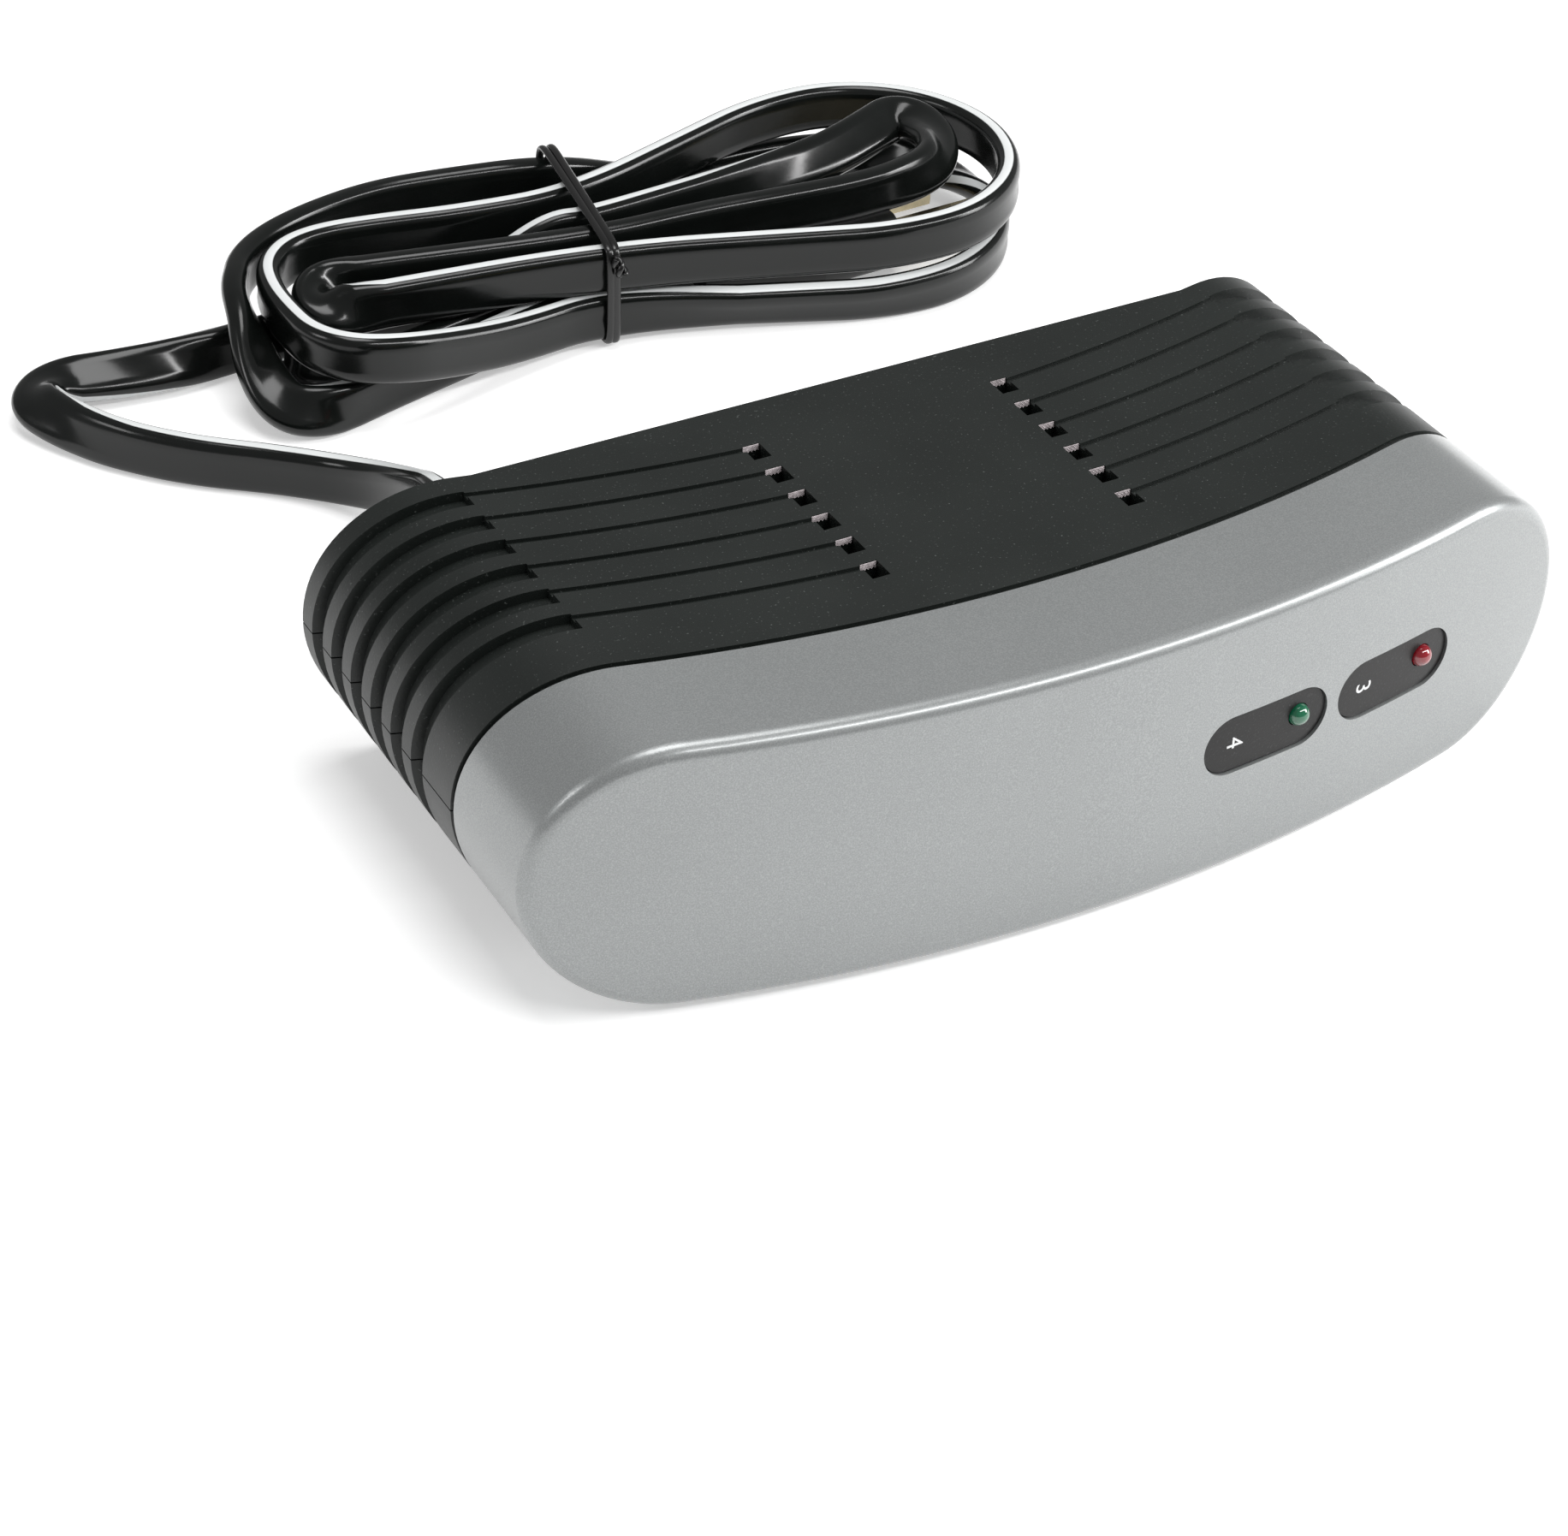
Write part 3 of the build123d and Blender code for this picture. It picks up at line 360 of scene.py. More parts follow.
# %% Paint the solid parts
jacks = ("right_audio", "left_audio", "video")
aerials = ("antenna", "tv")
painted = {
    shell_black: ["upper_shell", "lower_shell", "rear_panel"],
    silver_paint: ["front_bezel"],
    window_grey: ["channel_3_window", "channel_4_window"],
    lamp_red: ["red_indicator"],
    lamp_green: ["green_indicator"],
    board_green: ["main_board", "indicator_board"],
    component_black: [
        "jack_block",
        "modulator_chip",
        "tuned_coils",
        "filter_capacitors",
        "voltage_regulator",
    ],
    nickel_plate: [
        *[f"{name}_jack" for name in jacks + aerials],
        *[f"{name}_jack_nut" for name in aerials],
    ],
    insulator_white: [f"{name}_jack_insulator" for name in aerials],
    phono_red: ["right_audio_jack_insert", "right_audio_jack_collar"],
    phono_white: ["left_audio_jack_insert", "left_audio_jack_collar"],
    phono_yellow: ["video_jack_insert", "video_jack_collar"],
    tinned_sheet: ["rf_can", "rf_can_lid", "channel_switch_body"],
    core_steel: ["transformer_core"],
    bobbin_white: ["transformer_bobbin"],
    winding_tape: ["transformer_winding"],
    sink_aluminium: ["heat_sink"],
    zinc_steel: ["case_screws", "board_screws"],
    rubber_black: ["rubber_feet", "strain_relief"],
    wire_black: ["mains_wires", "indicator_wires", "channel_switch_slider"],
    plug_black: ["plug_body"],
    blade_brass: ["plug_blades"],
    cord_tie_black: ["cord_tie"],
}
for material, node_names in painted.items():
    for node_name in node_names:
        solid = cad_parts[node_name]
        for slot in solid.material_slots:
            slot.material = material
print("painted:", sum(len(names) for names in painted.values()))

# %% [markdown]
# ## The cord's route
#
# The mains cord leaves the case through a tapered sleeve, drops to the table, folds back to the
# right and runs into a hank of four long loops. A NURBS curve of order 3 with a few control
# points gives the smooth line that such a springy cord takes. The free stretch has its points
# written out. Each half turn of the hank is a centre, a radius, a layer and a way round,
# with seven points spread round it. Between two half turns the cord draws in at the slanting
# waist, where the tie holds it. Three half turns are far from round, so their points are
# written out too.

# %% The free stretch, in millimetres
low, high, over_plug = 3.85, 12.35, 14.3  # heights of the cord's middle in its layers
free_points = [
    (-44.0, 52.3, 15.0),
    (-44.0, 62.0, 15.0),
    (-42.8, 75.0, 8.6),
    (-45.4, 86.5, 4.6),
    (-54.0, 96.0, low),
    (-64.5, 104.0, low),
    (-72.5, 113.0, low),
    (-77.0, 121.5, low),
    (-79.5, 129.5, low),
    (-75.0, 133.6, low),
    (-67.0, 131.6, low),
    (-58.0, 130.4, low),
    (-50.0, 130.5, low),
    (-44.0, 131.1, low),
    (-34.0, 131.9, low),
]

# %% The hank's half turns and waist, in millimetres
waist_x, waist_y = 7.3, 114.0
waist_slant = 0.16
waist_lift = {low: 1.1, high: 0.6}
# Centre x and y, radius, height, and the way round: 1 counter-clockwise from above, -1 clockwise.
half_turns = [
    (40.0, 139.0, 4.1, low, -1),
    (-34.5, 121.4, 6.0, low, -1),
    (66.0, 128.0, 9.0, over_plug, -1),
    (-31.6, 124.0, 4.1, high, 1),
    (57.4, 124.6, 23.2, high, 1),
    (-25.8, 121.6, 17.4, high, 1),
    (55.5, 124.0, 23.3, low, 1),
    (-26.8, 128.4, 20.8, high, 1),
]
waist_crossings = [  # y and layer
    (132.6, low),
    (123.4, low),
    (125.4, high),
    (119.3, high),
    (114.4, high),
    (132.9, high),
    (114.8, low),
    (143.3, high),
    (119.2, low),
]
between = [[(waist_x + waist_slant * (y - waist_y), y, z + waist_lift[z])] for y, z in waist_crossings]
between[2] = [(-12.0, 127.7, 4.6), (-3.5, 127.1, 9.2), (4.0, 126.3, 13.2)] + between[2]
between[7].insert(0, (30.0, 147.2, 4.8))
between[8] += [(18.0, 118.9, 4.85), (25.0, 119.6, 4.85)]

# %% Three loops that differ from circles
loose_loops = {
    2: [
        (24.0, 126.6, 12.8),
        (40.0, 127.6, 13.0),
        (54.0, 129.6, 13.5),
        (63.4, 132.8, 14.2),
        (69.2, 135.4, 14.5),
        (72.2, 131.8, 14.5),
        (71.4, 124.4, 14.3),
        (66.0, 117.2, 14.2),
        (53.0, 114.8, 14.1),
        (38.0, 116.2, 14.0),
        (24.0, 118.4, 13.5),
    ],
    5: [
        (-7.0, 135.3, 12.5),
        (-20.0, 138.4, high),
        (-29.0, 139.6, high),
        (-35.6, 138.0, high),
        (-40.2, 133.2, high),
        (-42.0, 126.5, high),
        (-42.2, 119.0, high),
        (-41.6, 112.0, high),
        (-37.6, 106.6, 12.3),
        (-30.3, 105.2, 11.2),
        (-21.0, 107.9, 8.4),
        (-9.0, 111.4, 5.7),
    ],
    7: [
        (-5.0, 147.0, 12.6),
        (-16.0, 148.6, high),
        (-27.0, 146.6, high),
        (-36.4, 143.0, high),
        (-43.0, 137.6, high),
        (-46.3, 131.0, high),
        (-47.2, 124.5, 11.2),
        (-48.0, 118.5, 7.6),
        (-47.6, 112.4, 4.9),
        (-45.2, 109.0, 3.9),
        (-39.5, 107.9, 3.7),
        (-32.0, 110.2, 3.7),
    ],
}


def touch_angle(start, centre_x, centre_y, radius, way):
    """Angle on a circle where a straight line from start touches it, going round by way."""
    reach = np.hypot(centre_x - start[0], centre_y - start[1])
    towards_start = np.arctan2(start[1] - centre_y, start[0] - centre_x)
    return towards_start + way * np.arccos(radius / reach)


def on_the_run(start, around):
    """Point on the run from start to around[0], as far before it as around[1] is after it."""
    corner = np.array(around[0])
    run = np.array(start) - corner
    spacing = np.linalg.norm(np.array(around[1]) - corner)
    return tuple(corner + run * spacing / np.linalg.norm(run))


# %% The hank's control points
points_per_half_turn = 7
route_points = list(free_points)
for k, (x, y, radius, z, way) in enumerate(half_turns):
    arrive_from, leave_to = between[k][-1], between[k + 1][0]
    first = touch_angle(arrive_from, x, y, radius, way)
    last = touch_angle(leave_to, x, y, radius, -way)
    step = (way * (last - first)) % (2 * np.pi) / (points_per_half_turn - 1)
    angles = first + way * step * np.arange(points_per_half_turn)
    outside = radius / np.cos(step / 2)
    around = [(x + outside * np.cos(a), y + outside * np.sin(a), z) for a in angles]
    around = [on_the_run(arrive_from, around)] + around + [on_the_run(leave_to, around[::-1])]
    route_points += between[k] + loose_loops.get(k, around)
route_points += between[-1]
print("control points:", len(route_points))


# %% The smooth line through them
def nurbs_line(name, control_mm, steps=10):
    """Points of an order 3 NURBS curve with these control points, in metres."""
    curve = bpy.data.curves.new(name, "CURVE")
    curve.dimensions = "3D"
    curve.resolution_u = steps
    spline = curve.splines.new("NURBS")
    spline.points.add(len(control_mm) - 1)
    control = np.ones((len(control_mm), 4))
    control[:, :3] = np.array(control_mm) * mm
    spline.points.foreach_set("co", control.ravel())
    spline.order_u = 3
    spline.use_endpoint_u = True
    carrier = bpy.data.objects.new(name, curve)
    bpy.context.scene.collection.objects.link(carrier)
    bpy.context.view_layer.update()
    mesh = bpy.data.meshes.new_from_object(carrier)
    line = np.empty(len(mesh.vertices) * 3)
    mesh.vertices.foreach_get("co", line)
    line = line.reshape(-1, 3)
    bpy.data.objects.remove(carrier)
    bpy.data.meshes.remove(mesh)
    keep = np.r_[True, np.linalg.norm(np.diff(line, axis=0), axis=1) > 1e-6]
    return line[keep]


cord_line = nurbs_line("cord_route", route_points)
along_cord = np.r_[0.0, np.cumsum(np.linalg.norm(np.diff(cord_line, axis=0), axis=1))]
cord_length = along_cord[-1]
print("cord points:", len(cord_line), "length", round(cord_length, 3), "m")

# %% [markdown]
# ## The flat cord
#
# The cord is two insulated cores side by side in one jacket, 7.6 mm by 3.8 mm, with a shallow
# furrow between them and a white stripe along one edge. It stands on its edge almost
# everywhere, so its wide direction is up. At the fold on the left it rolls over, which carries
# the stripe from the top to the foot of the band, and several of the hank's half turns roll it
# back or over again. The section is carried along the line: at each point the wide axis is the
# upward direction, turned about the line by the roll at that length.

# %% Section of the cord
cord_width, cord_thick = 7.6 * mm, 3.8 * mm
section_count = 36
section_angle = 2 * np.pi * np.arange(section_count) / section_count
core_offset = (cord_width - cord_thick) / 2
core_radius = cord_thick / 2
flank_sharpness = 4.0
flank_power = 0.75
furrow_share, furrow_width = 0.13, 0.45 * core_offset


def cord_section(angle):
    """Stadium outline: round ends about two cores; a bell-shaped furrow dips the flanks between."""
    wide = core_radius * np.sin(angle) + core_offset * np.tanh(flank_sharpness * np.sin(angle))
    furrow = 1 - furrow_share * np.exp(-((wide / furrow_width) ** 2))
    return wide, core_radius * np.sign(np.cos(angle)) * np.abs(np.cos(angle)) ** flank_power * furrow


section_wide, section_thin = cord_section(section_angle)

# %% Roll along the free stretch and the hank
free_reach = 0.2
too_far = 1e3


def length_near(x, y):
    """Length along the cord's first stretch at the point nearest to x, y in millimetres."""
    away = np.hypot(cord_line[:, 0] / mm - x, cord_line[:, 1] / mm - y)
    return along_cord[np.argmin(np.where(along_cord < free_reach, away, too_far))]


waist_line = waist_x + waist_slant * (cord_line[:, 1] / mm - waist_y)
waist_passes = np.flatnonzero(np.diff(np.sign(cord_line[:, 0] / mm - waist_line)) != 0)
waist_lengths = along_cord[waist_passes]
fold_rolls = [  # x and y in millimetres, roll in degrees
    (-54.0, 96.0, 0),
    (-71.0, 110.0, 8),
    (-75.0, 119.0, 20),
    (-77.5, 126.0, 45),
    (-76.0, 132.0, 88),
    (-71.0, 132.5, 116),
    (-65.0, 131.0, 126),
    (-58.0, 130.5, 138),
    (-50.0, 130.5, 168),
    (-46.0, 131.0, 176),
]
# For each half turn: share of the way from one waist crossing to the next, roll in degrees.
turn_rolls = [
    [(0.0, 180), (1.0, 180)],
    [(0.0, 180), (0.38, 180), (0.54, 0), (1.0, 0)],
    [
        (0.0, 0),
        (0.15, -10),
        (0.30, -42),
        (0.43, -52),
        (0.50, -95),
        (0.57, -150),
        (0.66, -180),
        (1.0, -180),
    ],
    [(0.0, -180), (0.40, -180), (0.47, -140), (0.53, -75), (0.58, -20), (0.63, 0), (1.0, 0)],
    [(0.0, 0), (1.0, 0)],
    [(0.0, 0), (1.0, 0)],
    [(0.0, 0), (0.12, 24), (0.25, 20), (0.38, 6), (0.47, 0), (0.58, -90), (0.68, -180), (1.0, -180)],
    [(0.0, -180), (0.44, -180), (0.51, -150), (0.58, -90), (0.63, -40), (0.68, -5), (0.74, 0), (1.0, 0)],
]
roll_keys = [(0.0, 0)] + [(length_near(x, y), degrees) for x, y, degrees in fold_rolls]
for k, keys in enumerate(turn_rolls):
    start, span = waist_lengths[k], waist_lengths[k + 1] - waist_lengths[k]
    roll_keys += [(start + fraction * span, degrees) for fraction, degrees in keys]
roll_lengths, roll_degrees = np.array(roll_keys).T
rising_lengths = roll_lengths + 1e-6 * np.arange(len(roll_keys))  # no two keys at one length
roll = np.radians(np.interp(along_cord, rising_lengths, roll_degrees))
print("waist crossings at", np.round(waist_lengths, 3).tolist())

# %% Carry the section along the line
heading = np.gradient(cord_line, axis=0)
heading /= np.linalg.norm(heading, axis=1)[:, None]
up = np.array([0.0, 0.0, 1.0]) - heading[:, 2:3] * heading
up /= np.linalg.norm(up, axis=1)[:, None]
right_hand = np.cross(heading, up)
wide_axis = np.cos(roll)[:, None] * up + np.sin(roll)[:, None] * right_hand
thin_axis = np.cross(heading, wide_axis)
rings = (
    cord_line[:, None, :]
    + section_wide[None, :, None] * wide_axis[:, None, :]
    + section_thin[None, :, None] * thin_axis[:, None, :]
)
table_gap = 0.03 * mm
rings[..., 2] = np.maximum(rings[..., 2], table_gap)
mains_flex = grid_mesh("mains_flex", rings, cap_ends=True)
make_outward(mains_flex)
edge_share = np.tile(section_wide / section_wide.max(), len(cord_line))
stripe_attribute = mains_flex.data.attributes.new("stripe_edge", "FLOAT", "POINT")
stripe_attribute.data.foreach_set("value", edge_share.astype(np.float32))
print("cord mesh:", len(mains_flex.data.polygons), "faces")

# %% [markdown]
# ## The cord's finish
#
# The jacket is glossy black PVC with long soft highlights, and the stripe is a white line
# printed on its narrow edge. The mesh carries how near each point is to that edge, and the
# material turns this into a crisp mask, mixed between the two colours.

# %% Black jacket with a white stripe
stripe_from, stripe_full = 0.976, 0.986  # shares of the way from the middle to the striped edge
jacket = finish(
    "cord_jacket",
    (0.0045, 0.0055, 0.005),
    0.18,
    grain=(1.5, 0.008),
    mottle=(6.0, 0.12),
    specular_ior_level=0.38,
)
jacket_tree = jacket.node_tree
jacket_shader = jacket_tree.nodes["Principled BSDF"]
edge_reader = jacket_tree.nodes.new("ShaderNodeAttribute")
edge_reader.attribute_name = "stripe_edge"
edge_mask = jacket_tree.nodes.new("ShaderNodeMapRange")
edge_mask.inputs["From Min"].default_value = stripe_from
edge_mask.inputs["From Max"].default_value = stripe_full
jacket_tree.links.new(edge_reader.outputs["Fac"], edge_mask.inputs["Value"])
stripe_mix = jacket_tree.nodes.new("ShaderNodeMix")
stripe_mix.data_type = "RGBA"
stripe_mix.inputs["B"].default_value = (0.74, 0.76, 0.76, 1)
black_link = jacket_shader.inputs["Base Color"].links[0].from_socket
jacket_tree.links.new(edge_mask.outputs["Result"], stripe_mix.inputs["Factor"])
jacket_tree.links.new(black_link, stripe_mix.inputs["A"])
jacket_tree.links.new(stripe_mix.outputs["Result"], jacket_shader.inputs["Base Color"])
mains_flex.data.materials.append(jacket)

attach(mains_flex, "case")
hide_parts("mains_cord", "cord_hank")

# %% [markdown]
# ## The tie
#
# A thin plastic-covered wire holds the hank's waist: two turns side by side, twisted at the
# front. Each turn is a closed smooth curve through a few corners in the slanting plane of the
# waist. A uniform quadratic spline does this with one formula: between two corners' middles the
# curve is a parabola pulled towards the corner. The knot is two strands wound round each other.

# %% Two turns round the waist
wire_half_wide, wire_half_thick = 0.65, 0.40
tie_corners = [  # millimetres from the waist's middle towards the rear, and height
    (-1.2, 0.45),
    (-3.1, 1.8),
    (-3.3, 9.0),
    (-3.2, 16.0),
    (-1.8, 17.5),
    (8.0, 17.6),
    (24.0, 17.6),
    (31.6, 17.5),
    (33.3, 16.2),
    (33.8, 12.0),
    (33.8, 8.2),
    (32.6, 5.6),
    (25.5, 1.4),
    (22.0, 0.5),
    (19.0, 0.45),
    (8.0, 0.45),
]
across_waist = np.array([waist_slant, 1.0, 0.0]) / np.hypot(waist_slant, 1.0)
along_hank = np.array([1.0, -waist_slant, 0.0]) / np.hypot(waist_slant, 1.0)
waist_middle = np.array([waist_x, waist_y, 0.0])


def closed_spline(corners, steps):
    """Uniform quadratic spline: ((1-t)^2 P[i-1] + (1 + 2t - 2t^2) P[i] + t^2 P[i+1]) / 2."""
    corner = np.array(corners)[:, None, :]
    before, after = np.roll(corner, 1, axis=0), np.roll(corner, -1, axis=0)
    t = (np.arange(steps) / steps)[None, :, None]
    curve = ((1 - t) ** 2 * before + (1 + 2 * t - 2 * t**2) * corner + t**2 * after) / 2
    return curve.reshape(-1, curve.shape[2])


def oval_rings(line, first_axis, second_axis, half_first, half_second, count):
    """Rings of count points round a line: half_first along one axis, half_second along the other."""
    angle = 2 * np.pi * np.arange(count) / count
    rings = line[:, None, :] + half_first * np.cos(angle)[None, :, None] * first_axis[:, None, :]
    return rings + half_second * np.sin(angle)[None, :, None] * second_axis[:, None, :]


def tie_turn(name, shift, sway):
    """A flat oval wire round the waist; it sways along the hank by a sine."""
    flat = closed_spline(tie_corners, 12)
    share = np.linspace(0, 2 * np.pi, len(flat), endpoint=False)
    offset = shift + sway * np.sin(share + 0.6)
    line = waist_middle + flat[:, :1] * across_waist + offset[:, None] * along_hank
    line[:, 2] = flat[:, 1]
    ahead = np.roll(line, -1, axis=0) - np.roll(line, 1, axis=0)
    ahead /= np.linalg.norm(ahead, axis=1)[:, None]
    outward = np.cross(ahead, along_hank)
    sideways = np.broadcast_to(along_hank, line.shape)
    rings = oval_rings(line, sideways, outward, wire_half_wide, wire_half_thick, 14)
    turn = grid_mesh(name, rings * mm, wrap_rows=True)
    make_outward(turn)
    turn.data.materials.append(cord_tie_black)
    return turn


tie_pieces = [tie_turn("cord_tie_turn_1", -0.62, 0.12), tie_turn("cord_tie_turn_2", 0.62, -0.2)]


# %% The twisted ends
strand_radius, helix_radius = 0.5, 0.55


def twisted_strand(name, start, end, phase, turns):
    """A round wire on a helix about the line from start to end."""
    start, end = np.array(start), np.array(end)
    axis = (end - start) / np.linalg.norm(end - start)
    side = np.cross(axis, along_hank)
    side /= np.linalg.norm(side)
    other = np.cross(axis, side)
    share = np.linspace(0, 1, 64)[:, None]
    angle = phase + 2 * np.pi * turns * share
    swing = helix_radius * (np.cos(angle) * side + np.sin(angle) * other)
    centre = start + share * (end - start) + swing
    ahead = np.gradient(centre, axis=0)
    ahead /= np.linalg.norm(ahead, axis=1)[:, None]
    first = np.cross(ahead, side)
    first /= np.linalg.norm(first, axis=1)[:, None]
    second = np.cross(ahead, first)
    rings = oval_rings(centre, first, second, strand_radius, strand_radius, 12)
    strand = grid_mesh(name, rings * mm, cap_ends=True)
    make_outward(strand)
    strand.data.materials.append(cord_tie_black)
    return strand


knot_start = waist_middle - 3.9 * across_waist + np.array([0.0, 0.0, 16.2])
knot_end = knot_start + np.array([0.9, -0.7, -2.6])
for k in (0, 1):
    tie_pieces.append(twisted_strand(f"cord_tie_end_{k + 1}", knot_start, knot_end, np.pi * k, 0.9))
for piece in tie_pieces:
    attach(piece, "case")
    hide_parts("cord_tie")
print("tie pieces:", [piece.name for piece in tie_pieces])

# %% [markdown]
# ## The cord's sleeve
#
# Where the cord leaves the panel a ribbed rubber sleeve keeps it from kinking. Its outline is
# round at the panel and flattens towards the cord. Slots cut round it let it bend. The outline
# is an ellipse whose two half axes shrink along the sleeve, each by its own law, and the slots
# are a smooth step in both: a cosine wave along the sleeve, squared off by a logistic curve.

# %% Ribbed sleeve
sleeve_start, sleeve_end = 30.4, 52.3
cord_x, cord_z = -44.0, 15.0
sleeve_rows, sleeve_columns = 150, 56
sleeve_radius = 5.5
narrower_across, narrower_up = 2.5, 0.9
slot_count, first_slot = 6.5, 0.75
slot_deep, slot_edge, slot_threshold = 0.85, 14, 0.55
slots_from, slots_to = 0.12, 0.93
end_radius, end_share = 0.5, 0.04

share = np.linspace(0, 1, sleeve_rows)
half_across = sleeve_radius - narrower_across * share**0.8
half_up = sleeve_radius - narrower_up * share
slot_wave = np.cos(2 * np.pi * (share * slot_count - first_slot))
slot_depth = slot_deep / (1 + np.exp(-slot_edge * (slot_wave - slot_threshold)))
slot_depth = slot_depth * (share > slots_from) * (share < slots_to)
end_rise = np.clip((share - (1 - end_share)) / end_share, 0, 1)
end_round = end_radius * (1 - np.sqrt(1 - end_rise**2))
around = 2 * np.pi * np.arange(sleeve_columns) / sleeve_columns
sleeve_x = cord_x + (half_across - slot_depth - end_round)[:, None] * np.cos(around)[None, :]
sleeve_z = cord_z + (half_up - slot_depth - end_round)[:, None] * np.sin(around)[None, :]
sleeve_y = (sleeve_start + (sleeve_end - sleeve_start) * share)[:, None]
sleeve_y = np.repeat(sleeve_y, sleeve_columns, axis=1)
sleeve_points = np.stack([sleeve_x, sleeve_y, sleeve_z], axis=-1) * mm
cord_sleeve = grid_mesh("cord_sleeve", sleeve_points, cap_ends=True)
make_outward(cord_sleeve)
cord_sleeve.data.materials.append(rubber_black)
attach(cord_sleeve, "case")
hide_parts("strain_relief")
print("sleeve:", len(cord_sleeve.data.polygons), "faces")

# %% [markdown]
# ## Threads on the aerial sockets
#
# The aerial sockets take a screwed plug, so their barrels carry a fine thread, 32 to the inch.
# The solid barrel stays, and a thin threaded skin goes round it: its radius rises and falls as
# a triangle wave of the distance along the barrel plus the angle round it, which is a helix.

# %% Threaded skins
thread_pitch = 25.4 / 32
thread_start, thread_end = 33.4, 40.2
rows_per_pitch, thread_columns = 10, 48
thread_root, thread_deep, thread_fade = 4.80, 0.30, 0.6
lining_radius = 4.70
thread_rows = int((thread_end - thread_start) / thread_pitch * rows_per_pitch)
angle = 2 * np.pi * np.arange(thread_columns) / thread_columns
y_out = np.linspace(thread_start, thread_end, thread_rows)[:, None]
cycle = (y_out / thread_pitch + angle[None, :] / (2 * np.pi)) % 1.0
fade = np.clip(np.minimum(y_out - thread_start, thread_end - y_out) / thread_fade, 0, 1)
crest = thread_root + thread_deep * fade * (1 - np.abs(2 * cycle - 1))
aerial_places = {"antenna": 25.0, "tv": 40.0}
socket_z = 26.5
for name, x in aerial_places.items():
    skin_x = x + crest * np.cos(angle)[None, :]
    skin_z = socket_z + crest * np.sin(angle)[None, :]
    skin = np.stack([skin_x, np.broadcast_to(y_out, crest.shape), skin_z], axis=-1)
    lining = skin[::-1].copy()
    lining[..., 0] = x + lining_radius * np.cos(angle)[None, :]
    lining[..., 2] = socket_z + lining_radius * np.sin(angle)[None, :]
    thread = grid_mesh(f"{name}_thread", np.concatenate([skin, lining]) * mm, wrap_rows=True)
    make_outward(thread)
    thread.data.materials.append(nickel_plate)
    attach(thread, "case")
    print(thread.name, len(thread.data.polygons), "faces")

# %% [markdown]
# ## Painted highlights in the vents
#
# Each vent hole on the top shows a painted highlight on its rear wall: a pale colour stands in
# for the light caught there. Twelve thin slips, one against each hole's rear wall, carry it. Their
# face is a small grid that is roughened by two crossing sines, and their place follows from the
# bowed lines of the ribs.

# %% Twelve rough slips
bow_radius = 228.0
top_z = 39.5
vent_rows = 6
rear_groove, groove_spacing = 20.75, 6.09
groove_lines = rear_groove - groove_spacing * np.arange(vent_rows)
vent_inner, vent_width = 17.25, 2.5
slip_thickness = 0.1
slip_forward = 0.11
slip_top, slip_height, slip_ragged = 0.06, 0.85, 0.12
roughness_height = 0.05


def bowed(x, line_y):
    """y of a line bowed to the front: line_y + R - sqrt(R^2 - x^2)."""
    return line_y + bow_radius - np.sqrt(bow_radius**2 - x**2)


sides = np.repeat([-1.0, 1.0], vent_rows)[:, None, None]
rear = np.tile(bowed(vent_inner + vent_width / 2, groove_lines), 2)[:, None, None]
along = np.linspace(0.04, 0.96, 22)[None, None, :]
depth = np.linspace(0.0, 1.0, 9)[None, :, None]
slip_x = sides * (vent_inner + vent_width * along) + 0 * depth
drop = slip_top + (slip_height + slip_ragged * np.sin(31 * along + 5 * rear)) * depth
first_wave = np.sin(47 * along + 9 * depth + 3 * rear)
second_wave = np.sin(23 * depth + 17 * along + rear)
rough = roughness_height * first_wave * second_wave
slip_y = rear - slip_forward + rough * np.sin(np.pi * depth) + 0 * along
slips = np.stack([slip_x + 0 * rough, slip_y, top_z - drop + 0 * slip_x], axis=-1)
# pale slips that carry a painted highlight on each vent hole's rear wall
vent_highlight_slips = stack_mesh("vent_highlight_slips", slips * mm)
thicken = vent_highlight_slips.modifiers.new("thickness", "SOLIDIFY")
thicken.thickness = slip_thickness * mm
thicken.offset = 0.0
vent_highlight_slips.data.materials.append(vent_painted_highlight)
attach(vent_highlight_slips, "case")
print("vent edges:", len(vent_highlight_slips.data.polygons), "faces")

# %% [markdown]
# ## Numerals in the windows
#
# Each window shows its channel's number in white, turned a quarter so that its top points along
# the window. Text is made as a curve and turned into a mesh, and then its points are laid on the
# bowed face of the window: the letter's height runs along X, its width runs down, and its depth
# is counted from the face.

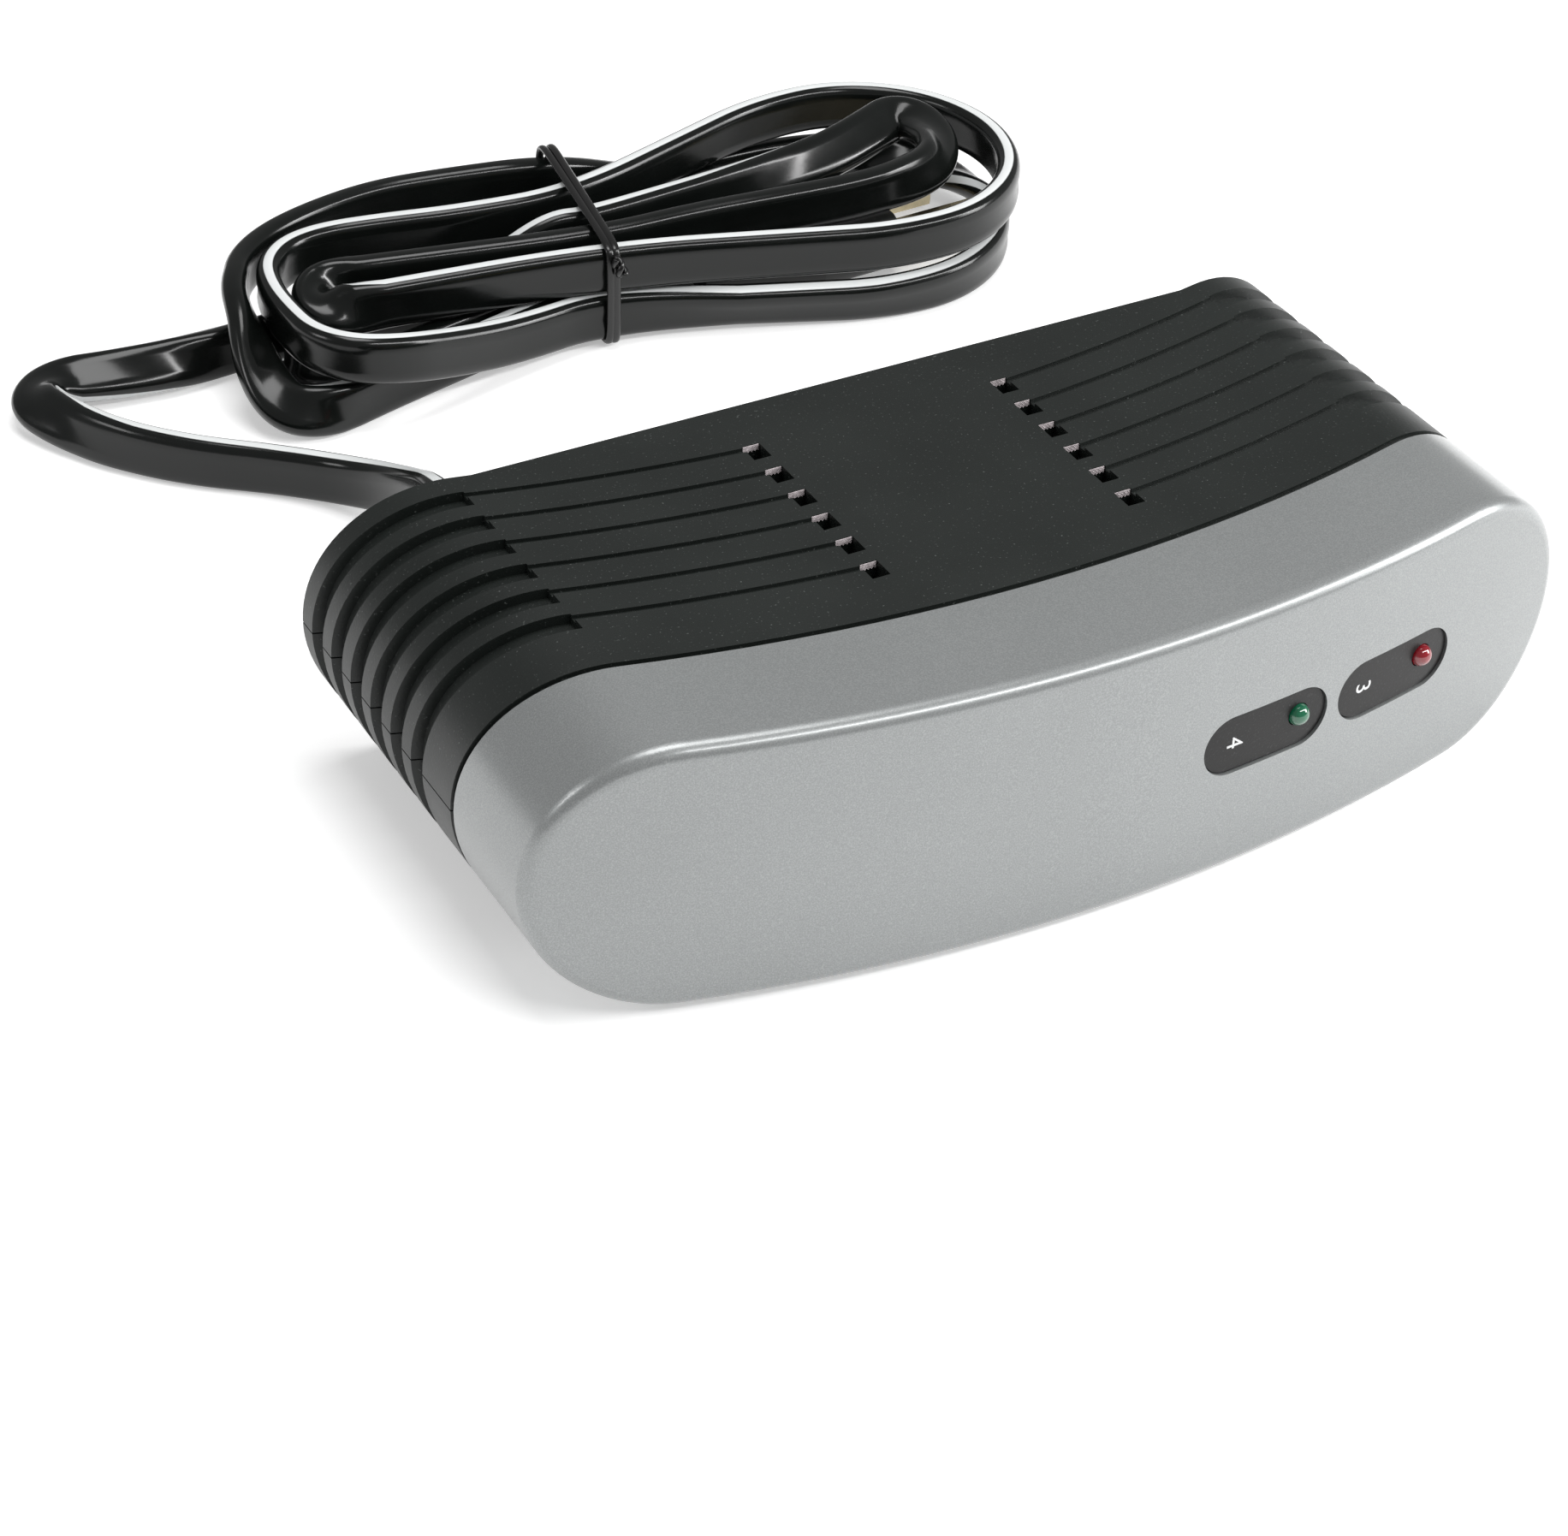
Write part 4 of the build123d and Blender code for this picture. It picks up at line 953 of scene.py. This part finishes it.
# %% Two numerals
numeral_size = 3.6
numeral_half_thick = 0.03
numeral_gap = 0.02
window_face_y = -40.35
window_z = 20.6
for digit, x in (("4", 17.1), ("3", 38.3)):
    letter = bpy.data.curves.new(f"numeral_{digit}_curve", "FONT")
    letter.body = digit
    letter.size = numeral_size * mm
    letter.extrude = numeral_half_thick * mm
    letter.align_x = "CENTER"
    carrier = bpy.data.objects.new("letter_carrier", letter)
    bpy.context.scene.collection.objects.link(carrier)
    bpy.context.view_layer.update()
    mesh = bpy.data.meshes.new_from_object(carrier)
    bpy.data.objects.remove(carrier)
    flat = np.empty(len(mesh.vertices) * 3)
    mesh.vertices.foreach_get("co", flat)
    flat = flat.reshape(-1, 3)
    middle = (flat.max(axis=0) + flat.min(axis=0)) / 2
    laid = np.empty_like(flat)
    laid[:, 0] = x * mm + (flat[:, 1] - middle[1])
    laid[:, 2] = window_z * mm - (flat[:, 0] - middle[0])
    laid[:, 1] = bowed(laid[:, 0] / mm, window_face_y) * mm - numeral_gap * mm - flat[:, 2]
    mesh.vertices.foreach_set("co", laid.ravel())
    mesh.update()
    numeral = bpy.data.objects.new(f"numeral_{digit}", mesh)
    bpy.context.scene.collection.objects.link(numeral)
    make_outward(numeral)
    numeral.data.materials.append(numeral_white)
    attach(numeral, "case")
    print(numeral.name, np.round(laid.min(axis=0) / mm, 2), np.round(laid.max(axis=0) / mm, 2))

# %% [markdown]
# ## The table and the light
#
# The photograph shows the object cut out on pure white. The floor is a pale matte sheet, and a
# little extra brightness that only the camera, mirrors and glass see lifts it to white, while it
# still takes the object's soft shadow. A long narrow lamp from the front right draws the bright
# line along the cap's rounded edge. Three square lamps fill the right, the top and the left.

# %% Floor
floor_ends = (-12.0, 12.0)
floor_brightness = 0.4
floor_grid = np.array([[(x, y, 0.0) for y in floor_ends] for x in floor_ends])
floor = grid_mesh("floor", floor_grid, wrap_columns=False, smooth=False)
floor_material = bpy.data.materials.new("floor_white")
floor_material.use_nodes = True
floor_shader = floor_material.node_tree.nodes["Principled BSDF"]
floor_shader.inputs["Base Color"].default_value = (0.86, 0.86, 0.86, 1)
floor_shader.inputs["Roughness"].default_value = 0.9
floor_shader.inputs["Specular IOR Level"].default_value = 0.1
floor_tree = floor_material.node_tree
floor_path = floor_tree.nodes.new("ShaderNodeLightPath")
camera_ray, mirror_ray, glass_ray = (
    floor_path.outputs[f"Is {kind} Ray"] for kind in ("Camera", "Glossy", "Transmission")
)
camera_or_mirror = math_node(floor_tree, "MAXIMUM", camera_ray, mirror_ray)
seen = math_node(floor_tree, "MAXIMUM", camera_or_mirror, glass_ray)
floor_lift = math_node(floor_tree, "MULTIPLY", seen, floor_brightness)
floor_shader.inputs["Emission Color"].default_value = (1, 1, 1, 1)
floor_tree.links.new(floor_lift, floor_shader.inputs["Emission Strength"])
floor.data.materials.append(floor_material)

# %% World
world_brightness = 0.27
scene = bpy.context.scene
scene.view_settings.view_transform = "Standard"
world = bpy.data.worlds.new("studio_world")
scene.world = world
world.use_nodes = True
world_tree = world.node_tree
background = world_tree.nodes["Background"]
background.inputs["Color"].default_value = (1, 1, 1, 1)
background.inputs["Strength"].default_value = world_brightness


# %% Lamps
def soft_lamp(name, place, target, size, power, along=(1, 0, 0)):
    """A rectangular area lamp at place, facing target, its long side along a direction.

    Places and sizes are in metres, the power in watts.
    """
    lamp_data = bpy.data.lights.new(name, "AREA")
    lamp_data.shape = "RECTANGLE"
    lamp_data.size, lamp_data.size_y = size
    lamp_data.energy = power
    lamp = bpy.data.objects.new(name, lamp_data)
    behind = (Vector(place) - Vector(target)).normalized()
    short_side = behind.cross(Vector(along)).normalized()
    long_side = short_side.cross(behind)
    turn = Matrix((long_side, short_side, behind)).transposed()
    lamp.matrix_world = Matrix.Translation(place) @ turn.to_4x4()
    scene.collection.objects.link(lamp)


soft_lamp("strip_lamp", (0.44, -0.50, 0.66), (0.0, 0.0, 0.03), (1.10, 0.09), 6.0, (0.66, 0.20, -0.21))
soft_lamp("right_lamp", (0.80, -0.35, 0.32), (0.05, 0.0, 0.02), (0.35, 0.35), 4.0)
soft_lamp("overhead_lamp", (0.0, 0.15, 1.0), (0.0, 0.05, 0.0), (0.5, 0.5), 5.0)
soft_lamp("left_lamp", (-0.80, 0.20, 0.45), (0.0, 0.0, 0.02), (0.25, 0.25), 1.0)
